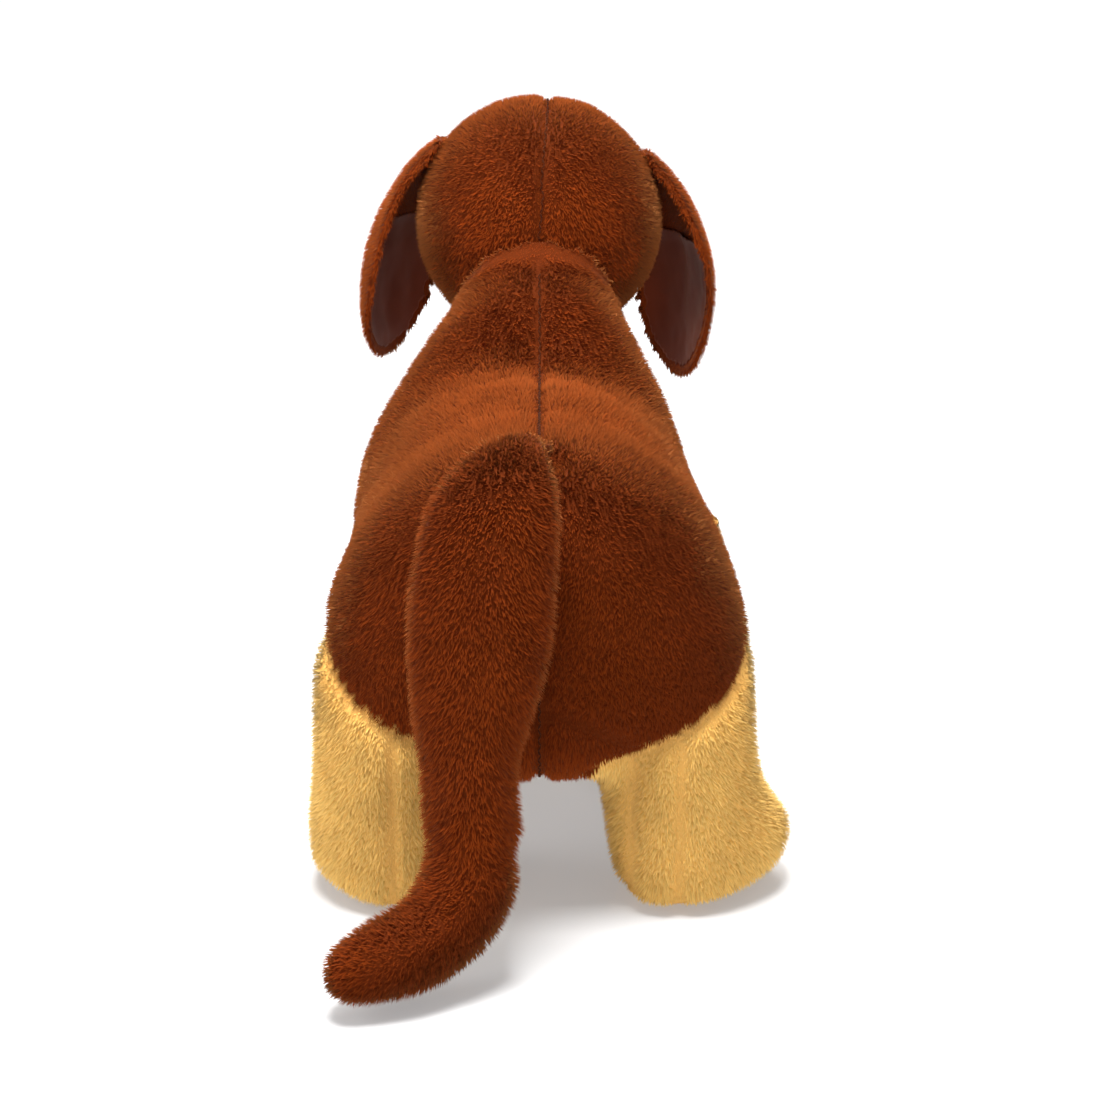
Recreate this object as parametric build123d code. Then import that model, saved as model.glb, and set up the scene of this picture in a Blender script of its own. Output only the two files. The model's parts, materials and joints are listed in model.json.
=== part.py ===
from build123d import *

import math
import os

# A standing plush dog, nose towards -Y, tail towards +Y, its own left at +X, floor at z = 0.
# X = 0 is the middle of the body. Y = 0 is midway between the nose and the end of the tail.
# Every fabric panel is a shell as thick as its backing and pile, around a core of fibre fill.

# ---------------------------------------------------------------- driving dimensions (mm)
HIND_Y = 131.0  # Y of the line through both hind legs
LEG_BASE = 190.0  # distance from the hind legs to the front legs
HEAD_AHEAD = 306.0  # the head's centre, ahead of the hind legs
HEAD_HEIGHT = 285.0  # the head's centre above the floor
HEAD_RADIUS = 71.0
HEAD_ROLL = 4.0  # degrees that the head is cocked towards the dog's right
PILE = 5.0  # backing and pile of a fur panel
LINING = 1.2  # smooth lining cloth of an ear
EAR_FUR = 4.0  # the ear's outer cloth, with shorter pile
TAIL_PILE = 4.5  # backing and pile of the tail
SOLE = 2.5  # felted sole patch under each foot
FREE = 0.5  # gap between surfaces that slide on each other
SEAM_TAPE = 2.2  # folded edge of cloth in the neck seam
CURL_LIMIT = 35.0  # degrees that the end of the tail lifts
STUD = 4.0  # diameter of the plastic studs behind the eyes and nose
STUD_PLAY = 0.2  # gap round a stud in the cloth
LEG_ROOM = 47.2  # radius of the opening that a leg fills in the body
SEAM_HEIGHT_HIND = 83.0  # where the tan seams of the hind legs would meet the middle
SEAM_HEIGHT_FRONT = 100.0
SEAM_RISE_OUT = 0.45  # rise of those seams away from the middle
SEAM_RISE_AHEAD = 0.49  # rise of the hind ones towards the head
BELLY_HALF_WIDTH = 44.0  # half width of the strip under the body
BELLY_FRONT = 178.0  # its front edge, ahead of the hind legs
BELLY_POINT = (45.0, 112.0)  # its rear point: distance behind the hind legs, height
BELLY_RISE = 0.42  # rise of its rear edge towards the tail
BELLY_TURN = 20.0  # degrees that each half of that edge turns down from the point
BIB_HALF_WIDTH = 46.0
BIB_HALF_HEIGHT = 62.0
BIB_HEIGHT = 152.0  # the middle of the bib above the floor
NECK_WAY = (0.0, 0.72, -0.69)  # from the head's centre down the middle of the neck
TAPE_DEPTH = 47.0  # the middle of the neck's seam tape, along that way
TAPE_WIDTH = 12.0

# Torso sections, from the rump to the neck: distance behind the hind legs, shift to the left,
# height of the widest line, half width there, reach above it, reach below it, lean in degrees.
TORSO = [
    (55, 0, 135, 8, 8, 8, 0),
    (51, 0, 131, 42, 50, 34, 0),
    (38, 0, 122, 78, 90, 48, 0),
    (10, 0, 116, 102, 114, 54, 0),
    (-22, 0, 116, 107, 118, 54, 0),
    (-80, 1, 122, 101, 110, 56, 0),
    (-140, 4, 138, 95, 94, 68, 4),
    (-190, 7, 158, 91, 78, 84, 14),
    (-222, 6, 188, 78, 70, 86, 28),
    (-243, 3, 222, 58, 60, 74, 42),
    (-266, 0, 258, 44, 46, 54, 52),
]

# Leg sections from the floor up: height, shift towards the toes, half length, half width.
FOOT = [
    (0, 14, 38, 25),
    (5, 16, 47, 32.5),
    (14, 17, 52, 37.5),
    (29, 15, 53, 40),
    (46, 9, 48, 40.5),
    (63, 3, 43.5, 41),
    (88, 0, 42.5, 41),
    (118, 0, 42, 40),
    (150, 0, 41, 38),
]

# Each leg: name, X of its axis, distance ahead of the hind legs, degrees that the toes turn out.
LEGS = [
    ("hind_leg_left", 70.0, 0.0, 20.0),
    ("hind_leg_right", -66.5, 0.0, 38.0),
    ("front_leg_left", 64.0, LEG_BASE, 9.0),
    ("front_leg_right", -64.0, LEG_BASE, 9.0),
]

# Tail sections from the root to the tip: X, distance behind the hind legs, height,
# half width across the body, half depth.
TAIL = [
    (2, 16, 231, 8, 8),
    (6, 31, 236, 14, 9),
    (12, 47, 230, 24, 13),
    (21, 67, 205, 34, 19),
    (26, 80, 165, 37, 22.5),
    (30, 87, 125, 31, 25),
    (31, 92, 87, 26, 25.5),
    (31, 99, 55, 25, 25),
    (41, 113, 35, 23.5, 23.5),
    (59, 127, 25, 22.5, 22.5),
    (79, 140, 21.5, 20, 20),
    (91, 147, 19, 14, 14),
    (96, 149.5, 18.5, 6, 6),
]
TAIL_BEND = 7  # the section where the tail turns along the floor
ROOT_BALL = 13.5  # radius of the sewn-down root, which turns in the rump
ROOT_TOP = 5.0  # height of the root's flat top above the middle of that ball

HEAD_CENTRE = Vector(0, HIND_Y - HEAD_AHEAD, HEAD_HEIGHT)
HEAD_PLACE = Pos(*HEAD_CENTRE) * Rot(0, -HEAD_ROLL, 0)


# ---------------------------------------------------------------- shape helpers
def ring(centre, across, along, reach_across, reach_up, reach_down, count=12):
    """Closed smooth wire about a centre, in the plane of two directions.

    Every ring has its points at the same even parameters, so that lofts stay light."""
    points = []
    for i in range(count):
        angle = 2 * math.pi * i / count
        reach = reach_up if math.sin(angle) >= 0 else reach_down
        side = across * (reach_across * math.cos(angle))
        points.append(centre + side + along * (reach * math.sin(angle)))
    even = [i / count for i in range(count + 1)]
    return Wire([Edge.make_spline(points, periodic=True, parameters=even)])


def slope(places, sizes, i):
    """Angle by which the skin turns inwards at section i, from its neighbours."""
    before = max(i - 1, 0)
    after = min(i + 1, len(places) - 1)
    travel = (places[after] - places[before]).length
    return math.atan2(sizes[after] - sizes[before], travel)


def torso_solid(inset):
    """The body from rump to neck, shrunk by the inset along its own skin."""
    places = [Vector(0, s[0], s[2]) for s in TORSO]
    sizes = [(s[3] + s[4] + s[5]) / 3 for s in TORSO]
    wires = []
    for i, (rear, shift, height, wide, up, down, lean) in enumerate(TORSO):
        turn = slope(places, sizes, i)
        pull = inset * math.cos(turn)
        ahead = inset * max(math.sin(turn), 0)
        centre = Vector(shift, HIND_Y + rear - ahead, height)
        tilt = math.radians(lean)
        rise = Vector(0, math.sin(tilt), math.cos(tilt))
        reaches = [max(reach - pull, 3) for reach in (wide, up, down)]
        wires.append(ring(centre, Vector(1, 0, 0), rise, *reaches))
    return Solid.make_loft(wires)


def leg_solid(x, ahead, toes_out, inset):
    """One leg and its foot, from the floor to its top inside the body.

    With an inset it is the room inside the skin, and runs past both ends."""
    turn = math.radians(toes_out)
    side = math.copysign(1, x)
    forward = Vector(side * math.sin(turn), -math.cos(turn), 0)
    across = Vector(-forward.Y, forward.X, 0)
    wires = []
    overrun = {FOOT[0][0]: -inset, FOOT[-1][0]: inset}
    for height, shift, long, wide in FOOT:
        level = height + overrun.get(height, 0)
        centre = Vector(x, HIND_Y - ahead, level) + forward * shift
        wires.append(ring(centre, across, forward, wide - inset, long - inset, long - inset))
    return Solid.make_loft(wires)


def tail_solid(first, last, inset):
    """The tail between two of its sections."""
    places = [Vector(s[0], HIND_Y + s[1], s[2]) for s in TAIL]
    wires = []
    for i in range(first, last + 1):
        before = places[max(i - 1, 0)]
        after = places[min(i + 1, len(TAIL) - 1)]
        way = (after - before).normalized()
        across = (Vector(1, 0, 0) - way * way.X).normalized()
        depth = way.cross(across)
        wide = max(TAIL[i][3] - inset, 1.5)
        deep = max(TAIL[i][4] - inset, 1.5)
        wires.append(ring(places[i], across, depth, wide, deep, deep))
    return Solid.make_loft(wires)


def tail_place(i):
    """Centre of one tail section."""
    return Vector(TAIL[i][0], HIND_Y + TAIL[i][1], TAIL[i][2])


def ellipsoid(centre, semi):
    """Ball stretched to three half sizes, about a centre."""
    return Pos(*centre) * scale(Sphere(1), by=tuple(semi))


def slab(low, high):
    """Box between two corners."""
    size = [b - a for a, b in zip(low, high)]
    middle = [(a + b) / 2 for a, b in zip(low, high)]
    return Pos(*middle) * Box(*size)


def half(side, reach=400):
    """Everything on one side of the middle of the dog."""
    return Pos(side * reach / 2, 0, 0) * Box(reach, 4 * reach, 4 * reach)


def outward(direction, distance):
    """Plane facing along a direction, at a distance from the head's centre."""
    way = Vector(*direction).normalized()
    return Plane(origin=way * distance, x_dir=(1, 0, 0), z_dir=way).location


def save(shape, node):
    """Write one sub-part."""
    export_step(Compound(children=list(shape.solids())), f"parts/{node}.step")


# ---------------------------------------------------------------- body and legs
def below_seam(x, ahead, front):
    """Everything on one side of the dog below the slanting seam of a tan leg."""
    side = math.copysign(1, x)
    height = SEAM_HEIGHT_FRONT if front else SEAM_HEIGHT_HIND
    rise_ahead = 0 if front else SEAM_RISE_AHEAD
    seam = Plane(
        origin=(0, HIND_Y - ahead, height),
        x_dir=(1, 0, side * SEAM_RISE_OUT),
        z_dir=(-side * SEAM_RISE_OUT, rise_ahead, 1),
    )
    block = seam.location * Pos(0, 0, -200) * Box(600, 600, 400)
    return block & slab((min(0, side * 150), -600, 0), (max(0, side * 150), 600, 400))


def belly_block():
    """The strip under the body, whose rear edge rises to a point below the tail."""
    behind, height = BELLY_POINT
    point = (0, HIND_Y + behind, height)
    low = Plane(origin=point, x_dir=(1, 0, 0), z_dir=(0, -BELLY_RISE, 1))
    block = Pos(0, 0, -100) * Box(2 * BELLY_HALF_WIDTH + 2, 700, 200)
    right = low.rotated((0, BELLY_TURN, 0)).location * block
    left = low.rotated((0, -BELLY_TURN, 0)).location * block
    front = (-BELLY_HALF_WIDTH, HIND_Y - BELLY_FRONT, 0)
    strip = slab(front, (BELLY_HALF_WIDTH, HIND_Y + 80, 140))
    return right & left & strip


def chest_block():
    """The tan bib at the front of the body."""
    oval = scale(Cylinder(1, 120), by=(BIB_HALF_WIDTH, BIB_HALF_HEIGHT, 1)).rotate(Axis.X, 90)
    return Pos(0, HIND_Y - LEG_BASE - 60, BIB_HEIGHT) * oval


def leg_parts(name, x, ahead, toes_out):
    """Two side panels, sole and stuffing of one leg, and the room it takes in the body."""
    below = below_seam(x, ahead, "front" in name)
    room = Pos(x, HIND_Y - ahead, 0) * Cylinder(LEG_ROOM, 500) & below
    tube = leg_solid(x, ahead, toes_out, 0) & below
    fill = leg_solid(x, ahead, toes_out, PILE)
    sole_slab = slab((-200, -400, -10), (200, 400, SOLE))
    skin = tube - fill - sole_slab
    outer_side = Pos(x, 0, 0) * half(math.copysign(1, x))
    save(skin & outer_side, f"{name}_outer_panel")
    save(skin - outer_side, f"{name}_inner_panel")
    save(tube & sole_slab, f"{name}_sole")
    save((fill & below) - sole_slab, f"{name}_stuffing")
    return room


def body_parts():
    """Body panels, bib, belly strip and stuffing, and the four legs."""
    core = torso_solid(PILE)
    shell = torso_solid(0) - core
    neck_gap = Pos(*HEAD_CENTRE) * Sphere(HEAD_RADIUS + 2 * FREE + SEAM_TAPE)
    root_gap = Pos(*tail_place(0)) * Sphere(ROOT_BALL + FREE)
    rooms = [leg_parts(*leg) for leg in LEGS]
    for gap in [neck_gap, root_gap] + rooms:
        shell = shell - gap
        core = core - gap
    belly = belly_block()
    bib = chest_block()
    save(shell & bib, "chest_panel")
    shell = shell - bib
    save(shell & belly, "belly_panel")
    shell = shell - belly
    save(shell & half(1), "body_panel_left")
    save(shell & half(-1), "body_panel_right")
    save(core, "body_stuffing")


def neck_tape():
    """Folded edge of the neck opening, a band on a ball about the head's centre."""
    inner = Sphere(HEAD_RADIUS + FREE)
    outer = Sphere(HEAD_RADIUS + FREE + SEAM_TAPE)
    middle = Vector(*NECK_WAY) * TAPE_DEPTH
    band = Plane(origin=middle, z_dir=NECK_WAY).location * Box(150, 150, TAPE_WIDTH)
    save(Pos(*HEAD_CENTRE) * ((outer - inner) & band), "neck_seam_tape")


# ---------------------------------------------------------------- head
MUZZLE_CENTRE = (0, -58, -20)
MUZZLE_SEMI = (37, 52, 31)
CHIN = -33  # the seam between muzzle and chin, above the head's centre
EYE_WAY = (0.42, -0.86, 0.26)
EYE_DOME = (8.5, 8.5, 6)
EYE_SEAT = 2  # how far an eye is sunk into the pile
NOSE_PLACE = (0, -108, -8)
NOSE_WAY = (0, -0.97, 0.24)
NOSE_DOME = (12.5, 9, 7)
BROW_WAY = (0.36, -0.73, 0.58)
BROW_OVAL = (9, 6.5, 1)


def stud_fitting(place, button, washer_radius, reach):
    """A plastic button with a ribbed stud behind it, and its lock washer."""
    stud = Pos(0, 0, -reach / 2) * Cylinder(STUD / 2, reach)
    whole = place * (button + stud)
    washer = Pos(0, 0, -reach + 3) * (Cylinder(washer_radius, 1.6) - Cylinder(STUD / 2 + 0.1, 1.6))
    room = Pos(0, 0, -reach / 2) * Cylinder(washer_radius + 2 * FREE, reach + 4)
    return whole, place * washer, place * room


def head_parts():
    """Head panels, muzzle, brows, eyes, nose and stuffing, in the head's own frame."""
    ball = Sphere(HEAD_RADIUS)
    ball_core = Sphere(HEAD_RADIUS - PILE)
    muzzle = ellipsoid(MUZZLE_CENTRE, MUZZLE_SEMI)
    muzzle_core = ellipsoid(MUZZLE_CENTRE, [semi - PILE for semi in MUZZLE_SEMI])
    face_shell = ball - ball_core - muzzle
    snout = muzzle - muzzle_core - ball
    rooms = []
    holes = []

    for side, name in ((1, "left"), (-1, "right")):
        way = (side * EYE_WAY[0], EYE_WAY[1], EYE_WAY[2])
        place = outward(way, HEAD_RADIUS - EYE_SEAT)
        button = scale(Sphere(1), by=EYE_DOME) & Pos(0, 0, 5) * Box(20, 20, 10)
        eye, washer, room = stud_fitting(place, button, 8, 16)
        save(HEAD_PLACE * eye, f"eye_{name}")
        save(HEAD_PLACE * washer, f"eye_washer_{name}")
        seat = Pos(0, 0, EYE_SEAT) * Cylinder(EYE_DOME[0] + FREE, 2 * EYE_SEAT)
        holes.append(place * (seat + Cylinder(STUD / 2 + STUD_PLAY, 20)))
        rooms.append(room)

    nose_at = Plane(origin=NOSE_PLACE, x_dir=(1, 0, 0), z_dir=NOSE_WAY).location
    button = scale(Sphere(1), by=NOSE_DOME) & Pos(0, 0, 5) * Box(30, 30, 10)
    nose, washer, room = stud_fitting(nose_at, button, 7, 18)
    save(HEAD_PLACE * nose, "nose")
    save(HEAD_PLACE * washer, "nose_washer")
    nose_seat = scale(Cylinder(1, 4), by=(NOSE_DOME[0] + FREE, NOSE_DOME[1] + FREE, 1))
    nose_hole = nose_at * (Pos(0, 0, 2) * nose_seat + Cylinder(STUD / 2 + STUD_PLAY, 20))
    rooms.append(room)

    brows = []
    for side, name in ((1, "left"), (-1, "right")):
        way = (side * BROW_WAY[0], BROW_WAY[1], BROW_WAY[2])
        patch = outward(way, HEAD_RADIUS) * scale(Cylinder(1, 40), by=BROW_OVAL)
        brows.append(patch)
        save(HEAD_PLACE * (face_shell & patch), f"brow_spot_{name}")
    for cut in brows + holes:
        face_shell = face_shell - cut
    for side, name in ((1, "left"), (-1, "right")):
        save(HEAD_PLACE * (face_shell & half(side)), f"head_panel_{name}")

    chin_cut = Pos(0, 0, CHIN - 100) * Box(200, 400, 200)
    snout = snout - nose_hole
    save(HEAD_PLACE * (snout - chin_cut), "muzzle_panel")
    save(HEAD_PLACE * (snout & chin_cut), "chin_panel")
    fill = ball_core + muzzle_core
    for room in rooms:
        fill = fill - room
    save(HEAD_PLACE * fill, "head_stuffing")


# Each ear curves round a ball stretched to EAR_SEMI across, along and up, about a middle
# ahead of and below the head's centre. The left ear hangs closer to the cheek.
EAR_MIDDLE_Y = 2
EAR_MIDDLE_Z = -45
EAR_SEMI_Y = 80
EAR_SEMI_Z = 97
EARS = [("left", 1, 31.0, 66.0), ("right", -1, 27.5, 74.5)]  # name, side, middle, half width
EAR_ROOT = 57.6  # how far out from the middle of the head an ear is sewn on
EAR_OUTLINE = [
    (10, 43), (18, 20), (21, -14), (20, -46), (8, -74), (-18, -89),
    (-46, -82), (-64, -57), (-62, -26), (-46, 7), (-31, 30), (-14, 43),
]


def ear_parts():
    """Both ears: furry outer cloth and smooth lining, curved round the side of the head."""
    leaf = Wire([Edge.make_spline([Vector(0, y, z) for y, z in EAR_OUTLINE], periodic=True)])
    prism = Pos(EAR_ROOT, 0, 0) * Solid.extrude(Face(leaf), Vector(100, 0, 0))
    clear = Sphere(HEAD_RADIUS + FREE)
    for name, side, middle_x, semi_x in EARS:
        middle = (middle_x, EAR_MIDDLE_Y, EAR_MIDDLE_Z)
        faces = []
        for depth in (0, EAR_FUR, EAR_FUR + LINING):
            semi = (semi_x - depth, EAR_SEMI_Y - depth, EAR_SEMI_Z - depth)
            faces.append(ellipsoid(middle, semi))
        for layer, outside, inside in (("outer", *faces[:2]), ("lining", *faces[1:])):
            shape = ((outside - inside) & prism) - clear
            sided = shape if side > 0 else shape.mirror(Plane.YZ)
            save(HEAD_PLACE * sided, f"ear_{name}_{layer}")


# ---------------------------------------------------------------- tail
def tail_parts():
    """Sewn-down root, upper tail and the end that lies along the floor."""
    root = tail_place(0)
    bend = tail_place(TAIL_BEND)
    bend_radius = TAIL[TAIL_BEND][3]
    swing = bend_radius / math.cos(math.radians(CURL_LIMIT)) + FREE
    low_cut = Pos(*root) * Pos(0, 0, ROOT_TOP - 50) * Box(100, 100, 100)
    save(Pos(*root) * Sphere(ROOT_BALL) & low_cut, "tail_root")
    gaps = Pos(*root) * Sphere(ROOT_BALL + FREE) + Pos(*bend) * Sphere(swing)
    layers = []
    for inset in (0, TAIL_PILE):
        upper = tail_solid(0, TAIL_BEND, inset) - gaps
        end = tail_solid(TAIL_BEND, len(TAIL) - 1, inset)
        layers.append((upper, end + Pos(*bend) * Sphere(bend_radius - inset - 1)))
    (upper, end), (upper_fill, end_fill) = layers
    save(upper - upper_fill, "tail_upper_skin")
    save(end - end_fill, "tail_end_skin")
    save(upper_fill, "tail_upper_stuffing")
    save(end_fill, "tail_end_stuffing")


os.makedirs("parts", exist_ok=True)
body_parts()
neck_tape()
head_parts()
ear_parts()
tail_parts()
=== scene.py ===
"""Looks of a standing plush dog: padded skins, short pile, smooth ear linings, seams and face.

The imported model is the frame. Each skin is fused from its CAD solids, swelled by a cloth
simulation between its seams, and then planted with pile, which is real geometry.
All lengths are in metres, in the frame's own axes: the nose towards -Y, the floor at z = 0.
"""
import itertools
import json
import logging
import math
from dataclasses import dataclass
from enum import Enum
from typing import Callable, Iterable, Sequence

import bpy
import numpy as np
from mathutils import Matrix, Vector
from mathutils.bvhtree import BVHTree


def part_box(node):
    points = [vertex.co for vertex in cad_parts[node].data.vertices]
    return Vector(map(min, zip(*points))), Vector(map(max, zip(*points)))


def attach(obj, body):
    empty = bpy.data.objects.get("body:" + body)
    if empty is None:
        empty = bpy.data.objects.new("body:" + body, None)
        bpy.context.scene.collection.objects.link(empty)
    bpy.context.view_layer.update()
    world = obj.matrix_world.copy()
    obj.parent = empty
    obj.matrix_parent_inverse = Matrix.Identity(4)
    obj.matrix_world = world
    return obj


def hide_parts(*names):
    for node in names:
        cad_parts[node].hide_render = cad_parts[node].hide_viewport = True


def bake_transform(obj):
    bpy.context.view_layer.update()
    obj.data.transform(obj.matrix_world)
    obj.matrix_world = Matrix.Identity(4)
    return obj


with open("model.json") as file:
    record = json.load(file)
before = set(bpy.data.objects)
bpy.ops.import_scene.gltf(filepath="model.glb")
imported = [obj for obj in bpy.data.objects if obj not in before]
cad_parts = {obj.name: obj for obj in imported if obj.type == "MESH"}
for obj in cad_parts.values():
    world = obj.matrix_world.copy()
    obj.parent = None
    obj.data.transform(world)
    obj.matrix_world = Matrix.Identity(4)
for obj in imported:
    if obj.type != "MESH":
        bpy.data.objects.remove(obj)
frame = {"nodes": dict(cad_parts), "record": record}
LOG = logging.getLogger("plush_dog")
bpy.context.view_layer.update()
MM = 0.001
UV_NAME = "OFBake"
Array = np.ndarray
Field = Callable[[Array], Array]


# ------------------------------------------------------------------ measures from the frame
def joint(name: str) -> dict:
    """Find one joint of the frame.

    Args:
        name: the joint's name in the record.
    Returns:
        The joint's entry, with pos_m and axis.
    """
    return next(j for j in frame["record"]["behaviour"]["joints"] if j["name"] == name)


HEAD_CENTRE = np.array(joint("neck_turn")["pos_m"])
TAIL_ROOT = np.array(joint("tail_lift")["pos_m"])
TAIL_BEND = np.array(joint("tail_curl")["pos_m"])
HEAD_RADIUS = 0.071
HEAD_ROLL = math.radians(4.0)
HEAD_TURN = np.array(Matrix.Rotation(-HEAD_ROLL, 3, "Y"))


def in_head(points: Array) -> Array:
    """Turn row-frame points into the head's own frame, about its centre.

    Args:
        points: n by 3 places.
    Returns:
        n by 3 places in the head's frame.
    """
    return (points - HEAD_CENTRE) @ HEAD_TURN


def from_head(points: Array) -> Array:
    """Turn points of the head's own frame into the row frame.

    Args:
        points: n by 3 places about the head's centre.
    Returns:
        n by 3 places in the row frame.
    """
    return np.asarray(points) @ HEAD_TURN.T + HEAD_CENTRE


# ------------------------------------------------------------------ small mathematics
def unit(vectors: Array) -> Array:
    """Scale vectors to length one.

    Args:
        vectors: n by 3.
    Returns:
        n by 3 unit vectors.
    """
    return vectors / np.maximum(np.linalg.norm(vectors, axis=-1, keepdims=True), 1e-9)


def ramp(value: Array, low: float, high: float) -> Array:
    """Smoothstep: 0 below low, 1 above high, an S curve between.

    Args:
        value: what is tested.
        low: where the rise starts.
        high: where it ends.
    Returns:
        Values from 0 to 1.
    """
    t = np.clip((value - low) / (high - low), 0, 1)
    return t * t * (3 - 2 * t)


def noise(points: Array, cell: float, seed: int) -> Array:
    """Smooth value noise: random numbers at the corners of cubic cells, blended by smoothstep.

    Args:
        points: n by 3 places.
        cell: side of a cell.
        seed: picks the pattern.
    Returns:
        n values between -1 and 1.
    """
    scaled = points / cell
    base = np.floor(scaled).astype(np.int64)
    part = scaled - base
    part = part * part * (3 - 2 * part)
    total = np.zeros(len(points))
    for corner in itertools.product((0, 1), repeat=3):
        c = base + np.array(corner)
        h = c[:, 0] * 73856093 ^ c[:, 1] * 19349663 ^ c[:, 2] * 83492791 ^ seed * 668265263
        h = (h ^ (h >> 13)) * 1274126177 & 0x7FFFFFFF
        h = (h ^ (h >> 15)) & 0xFFFF
        weight = np.prod(np.where(corner, part, 1 - part), axis=1)
        total += weight * (h / 32767.5 - 1)
    return total


def noise_vector(points: Array, cell: float, seed: int) -> Array:
    """Three independent noises as a vector field.

    Args:
        points: n by 3 places.
        cell: side of a cell.
        seed: picks the pattern.
    Returns:
        n by 3 values between -1 and 1.
    """
    return np.stack([noise(points, cell, seed + k) for k in range(3)], axis=1)


def nearest(points: Array, others: Array) -> Array:
    """Distance from each point to the nearest of some others, worked out in batches.

    Args:
        points: n by 3 places.
        others: m by 3 places.
    Returns:
        n distances.
    """
    batches = np.array_split(points, max(1, len(points) * len(others) // 4_000_000))
    square = (others**2).sum(axis=1)
    found = [
        (square[None, :] - 2 * batch @ others.T).min(axis=1) + (batch**2).sum(axis=1)
        for batch in batches
    ]
    return np.sqrt(np.maximum(np.concatenate(found), 0))


# ------------------------------------------------------------------ meshes
@dataclass
class Surface:
    """A triangle mesh as arrays, with a normal at each point."""

    points: Array
    triangles: Array
    normals: Array

    @classmethod
    def of(cls, obj: bpy.types.Object) -> "Surface":
        """Read an object's mesh.

        Args:
            obj: a mesh object at the origin.
        Returns:
            Its surface.
        """
        mesh = obj.data
        mesh.calc_loop_triangles()
        points = np.empty(len(mesh.vertices) * 3)
        normals = np.empty(len(mesh.vertices) * 3)
        triangles = np.empty(len(mesh.loop_triangles) * 3, dtype=np.int32)
        mesh.vertices.foreach_get("co", points)
        mesh.vertices.foreach_get("normal", normals)
        mesh.loop_triangles.foreach_get("vertices", triangles)
        return cls(points.reshape(-1, 3), triangles.reshape(-1, 3), normals.reshape(-1, 3))


def new_object(name: str, points: Array, faces: Array, smooth: bool = True) -> bpy.types.Object:
    """Make an object from arrays, all faces with the same number of corners.

    Args:
        name: the piece's name.
        points: n by 3.
        faces: m by 3 or m by 4 indices.
        smooth: smooth shading.
    Returns:
        The new object, linked to the scene.
    """
    mesh = bpy.data.meshes.new(name)
    corners = faces.shape[1]
    mesh.vertices.add(len(points))
    mesh.vertices.foreach_set("co", np.ascontiguousarray(points, dtype=np.float32).ravel())
    mesh.loops.add(faces.size)
    mesh.loops.foreach_set("vertex_index", np.ascontiguousarray(faces, dtype=np.int32).ravel())
    mesh.polygons.add(len(faces))
    mesh.polygons.foreach_set("loop_start", np.arange(len(faces), dtype=np.int32) * corners)
    mesh.update(calc_edges=True)
    mesh.polygons.foreach_set("use_smooth", np.full(len(faces), smooth))
    obj = bpy.data.objects.new(name, mesh)
    bpy.context.scene.collection.objects.link(obj)
    return obj


def set_points(obj: bpy.types.Object, points: Array) -> None:
    """Move an object's vertices.

    Args:
        obj: the object.
        points: their new places.
    """
    obj.data.vertices.foreach_set("co", np.ascontiguousarray(points, dtype=np.float32).ravel())
    obj.data.update()


def apply_modifiers(obj: bpy.types.Object) -> None:
    """Make an object's evaluated mesh its own, and drop its modifiers.

    Args:
        obj: the object.
    """
    graph = bpy.context.evaluated_depsgraph_get()
    graph.update()
    mesh = bpy.data.meshes.new_from_object(obj.evaluated_get(graph))
    obj.modifiers.clear()
    obj.data = mesh


def grid(name: str, places: Array, close_u: bool = False, close_v: bool = False) -> bpy.types.Object:
    """Make a quad surface from a grid of places.

    Args:
        name: the piece's name.
        places: rows by columns by 3.
        close_u: joins the last row to the first.
        close_v: joins the last column to the first.
    Returns:
        The new object.
    """
    rows, columns = places.shape[:2]
    i = np.arange(rows if close_u else rows - 1)[:, None]
    j = np.arange(columns if close_v else columns - 1)[None, :]
    up, right = (i + 1) % rows, (j + 1) % columns
    faces = np.stack(
        [i * columns + j, i * columns + right, up * columns + right, up * columns + j], axis=-1
    )
    return new_object(name, places.reshape(-1, 3), faces.reshape(-1, 4))


def ball_mesh(centre: Array, radius: float, turns: int = 32) -> tuple[Array, Array]:
    """A ball on a latitude and longitude grid: radius times (sin u cos v, sin u sin v, cos u).

    Args:
        centre: its middle.
        radius: its radius.
        turns: faces round its equator.
    Returns:
        Its points and its triangles.
    """
    u = np.linspace(0, math.pi, turns // 2 + 1)[1:-1, None]
    v = np.linspace(0, 2 * math.pi, turns, endpoint=False)[None, :]
    x, y, z = np.sin(u) * np.cos(v), np.sin(u) * np.sin(v), np.cos(u) + 0 * v
    body = np.stack([x, y, z], axis=-1).reshape(-1, 3)
    points = np.vstack([body, [[0, 0, 1], [0, 0, -1]]]) * radius + centre
    rows = turns // 2 - 1
    i = np.arange(rows - 1)[:, None] * turns
    j = np.arange(turns)[None, :]
    k = (j + 1) % turns
    a, b, c, d = i + j, i + k, i + turns + k, i + turns + j
    sides = np.concatenate(
        [np.stack([a, d, c], -1).reshape(-1, 3), np.stack([a, c, b], -1).reshape(-1, 3)]
    )
    j, k, last = j.ravel(), k.ravel(), (rows - 1) * turns
    top = np.stack([np.full(turns, len(body)), j, k], -1)
    bottom = np.stack([np.full(turns, len(body) + 1), last + k, last + j], -1)
    return points, np.concatenate([sides, top, bottom])


# ------------------------------------------------------------------ materials
@dataclass(frozen=True)
class PileFinish:
    """Colours of a pile along its hairs, and its shine."""

    name: str
    root: tuple[float, float, float]
    middle: tuple[float, float, float]
    tip: tuple[float, float, float]
    sheen: float
    sheen_tint: tuple[float, float, float]
    roughness: float = 0.85


BROWN = PileFinish(
    "brown_pile", (0.085, 0.0125, 0.0016), (0.185, 0.028, 0.0032), (0.29, 0.050, 0.0065),
    0.30, (1.0, 0.36, 0.11),
)
TAN = PileFinish(
    "tan_pile", (0.80, 0.42, 0.085), (0.90, 0.54, 0.145), (0.95, 0.62, 0.20),
    0.2, (1.0, 0.76, 0.42),
)


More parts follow.
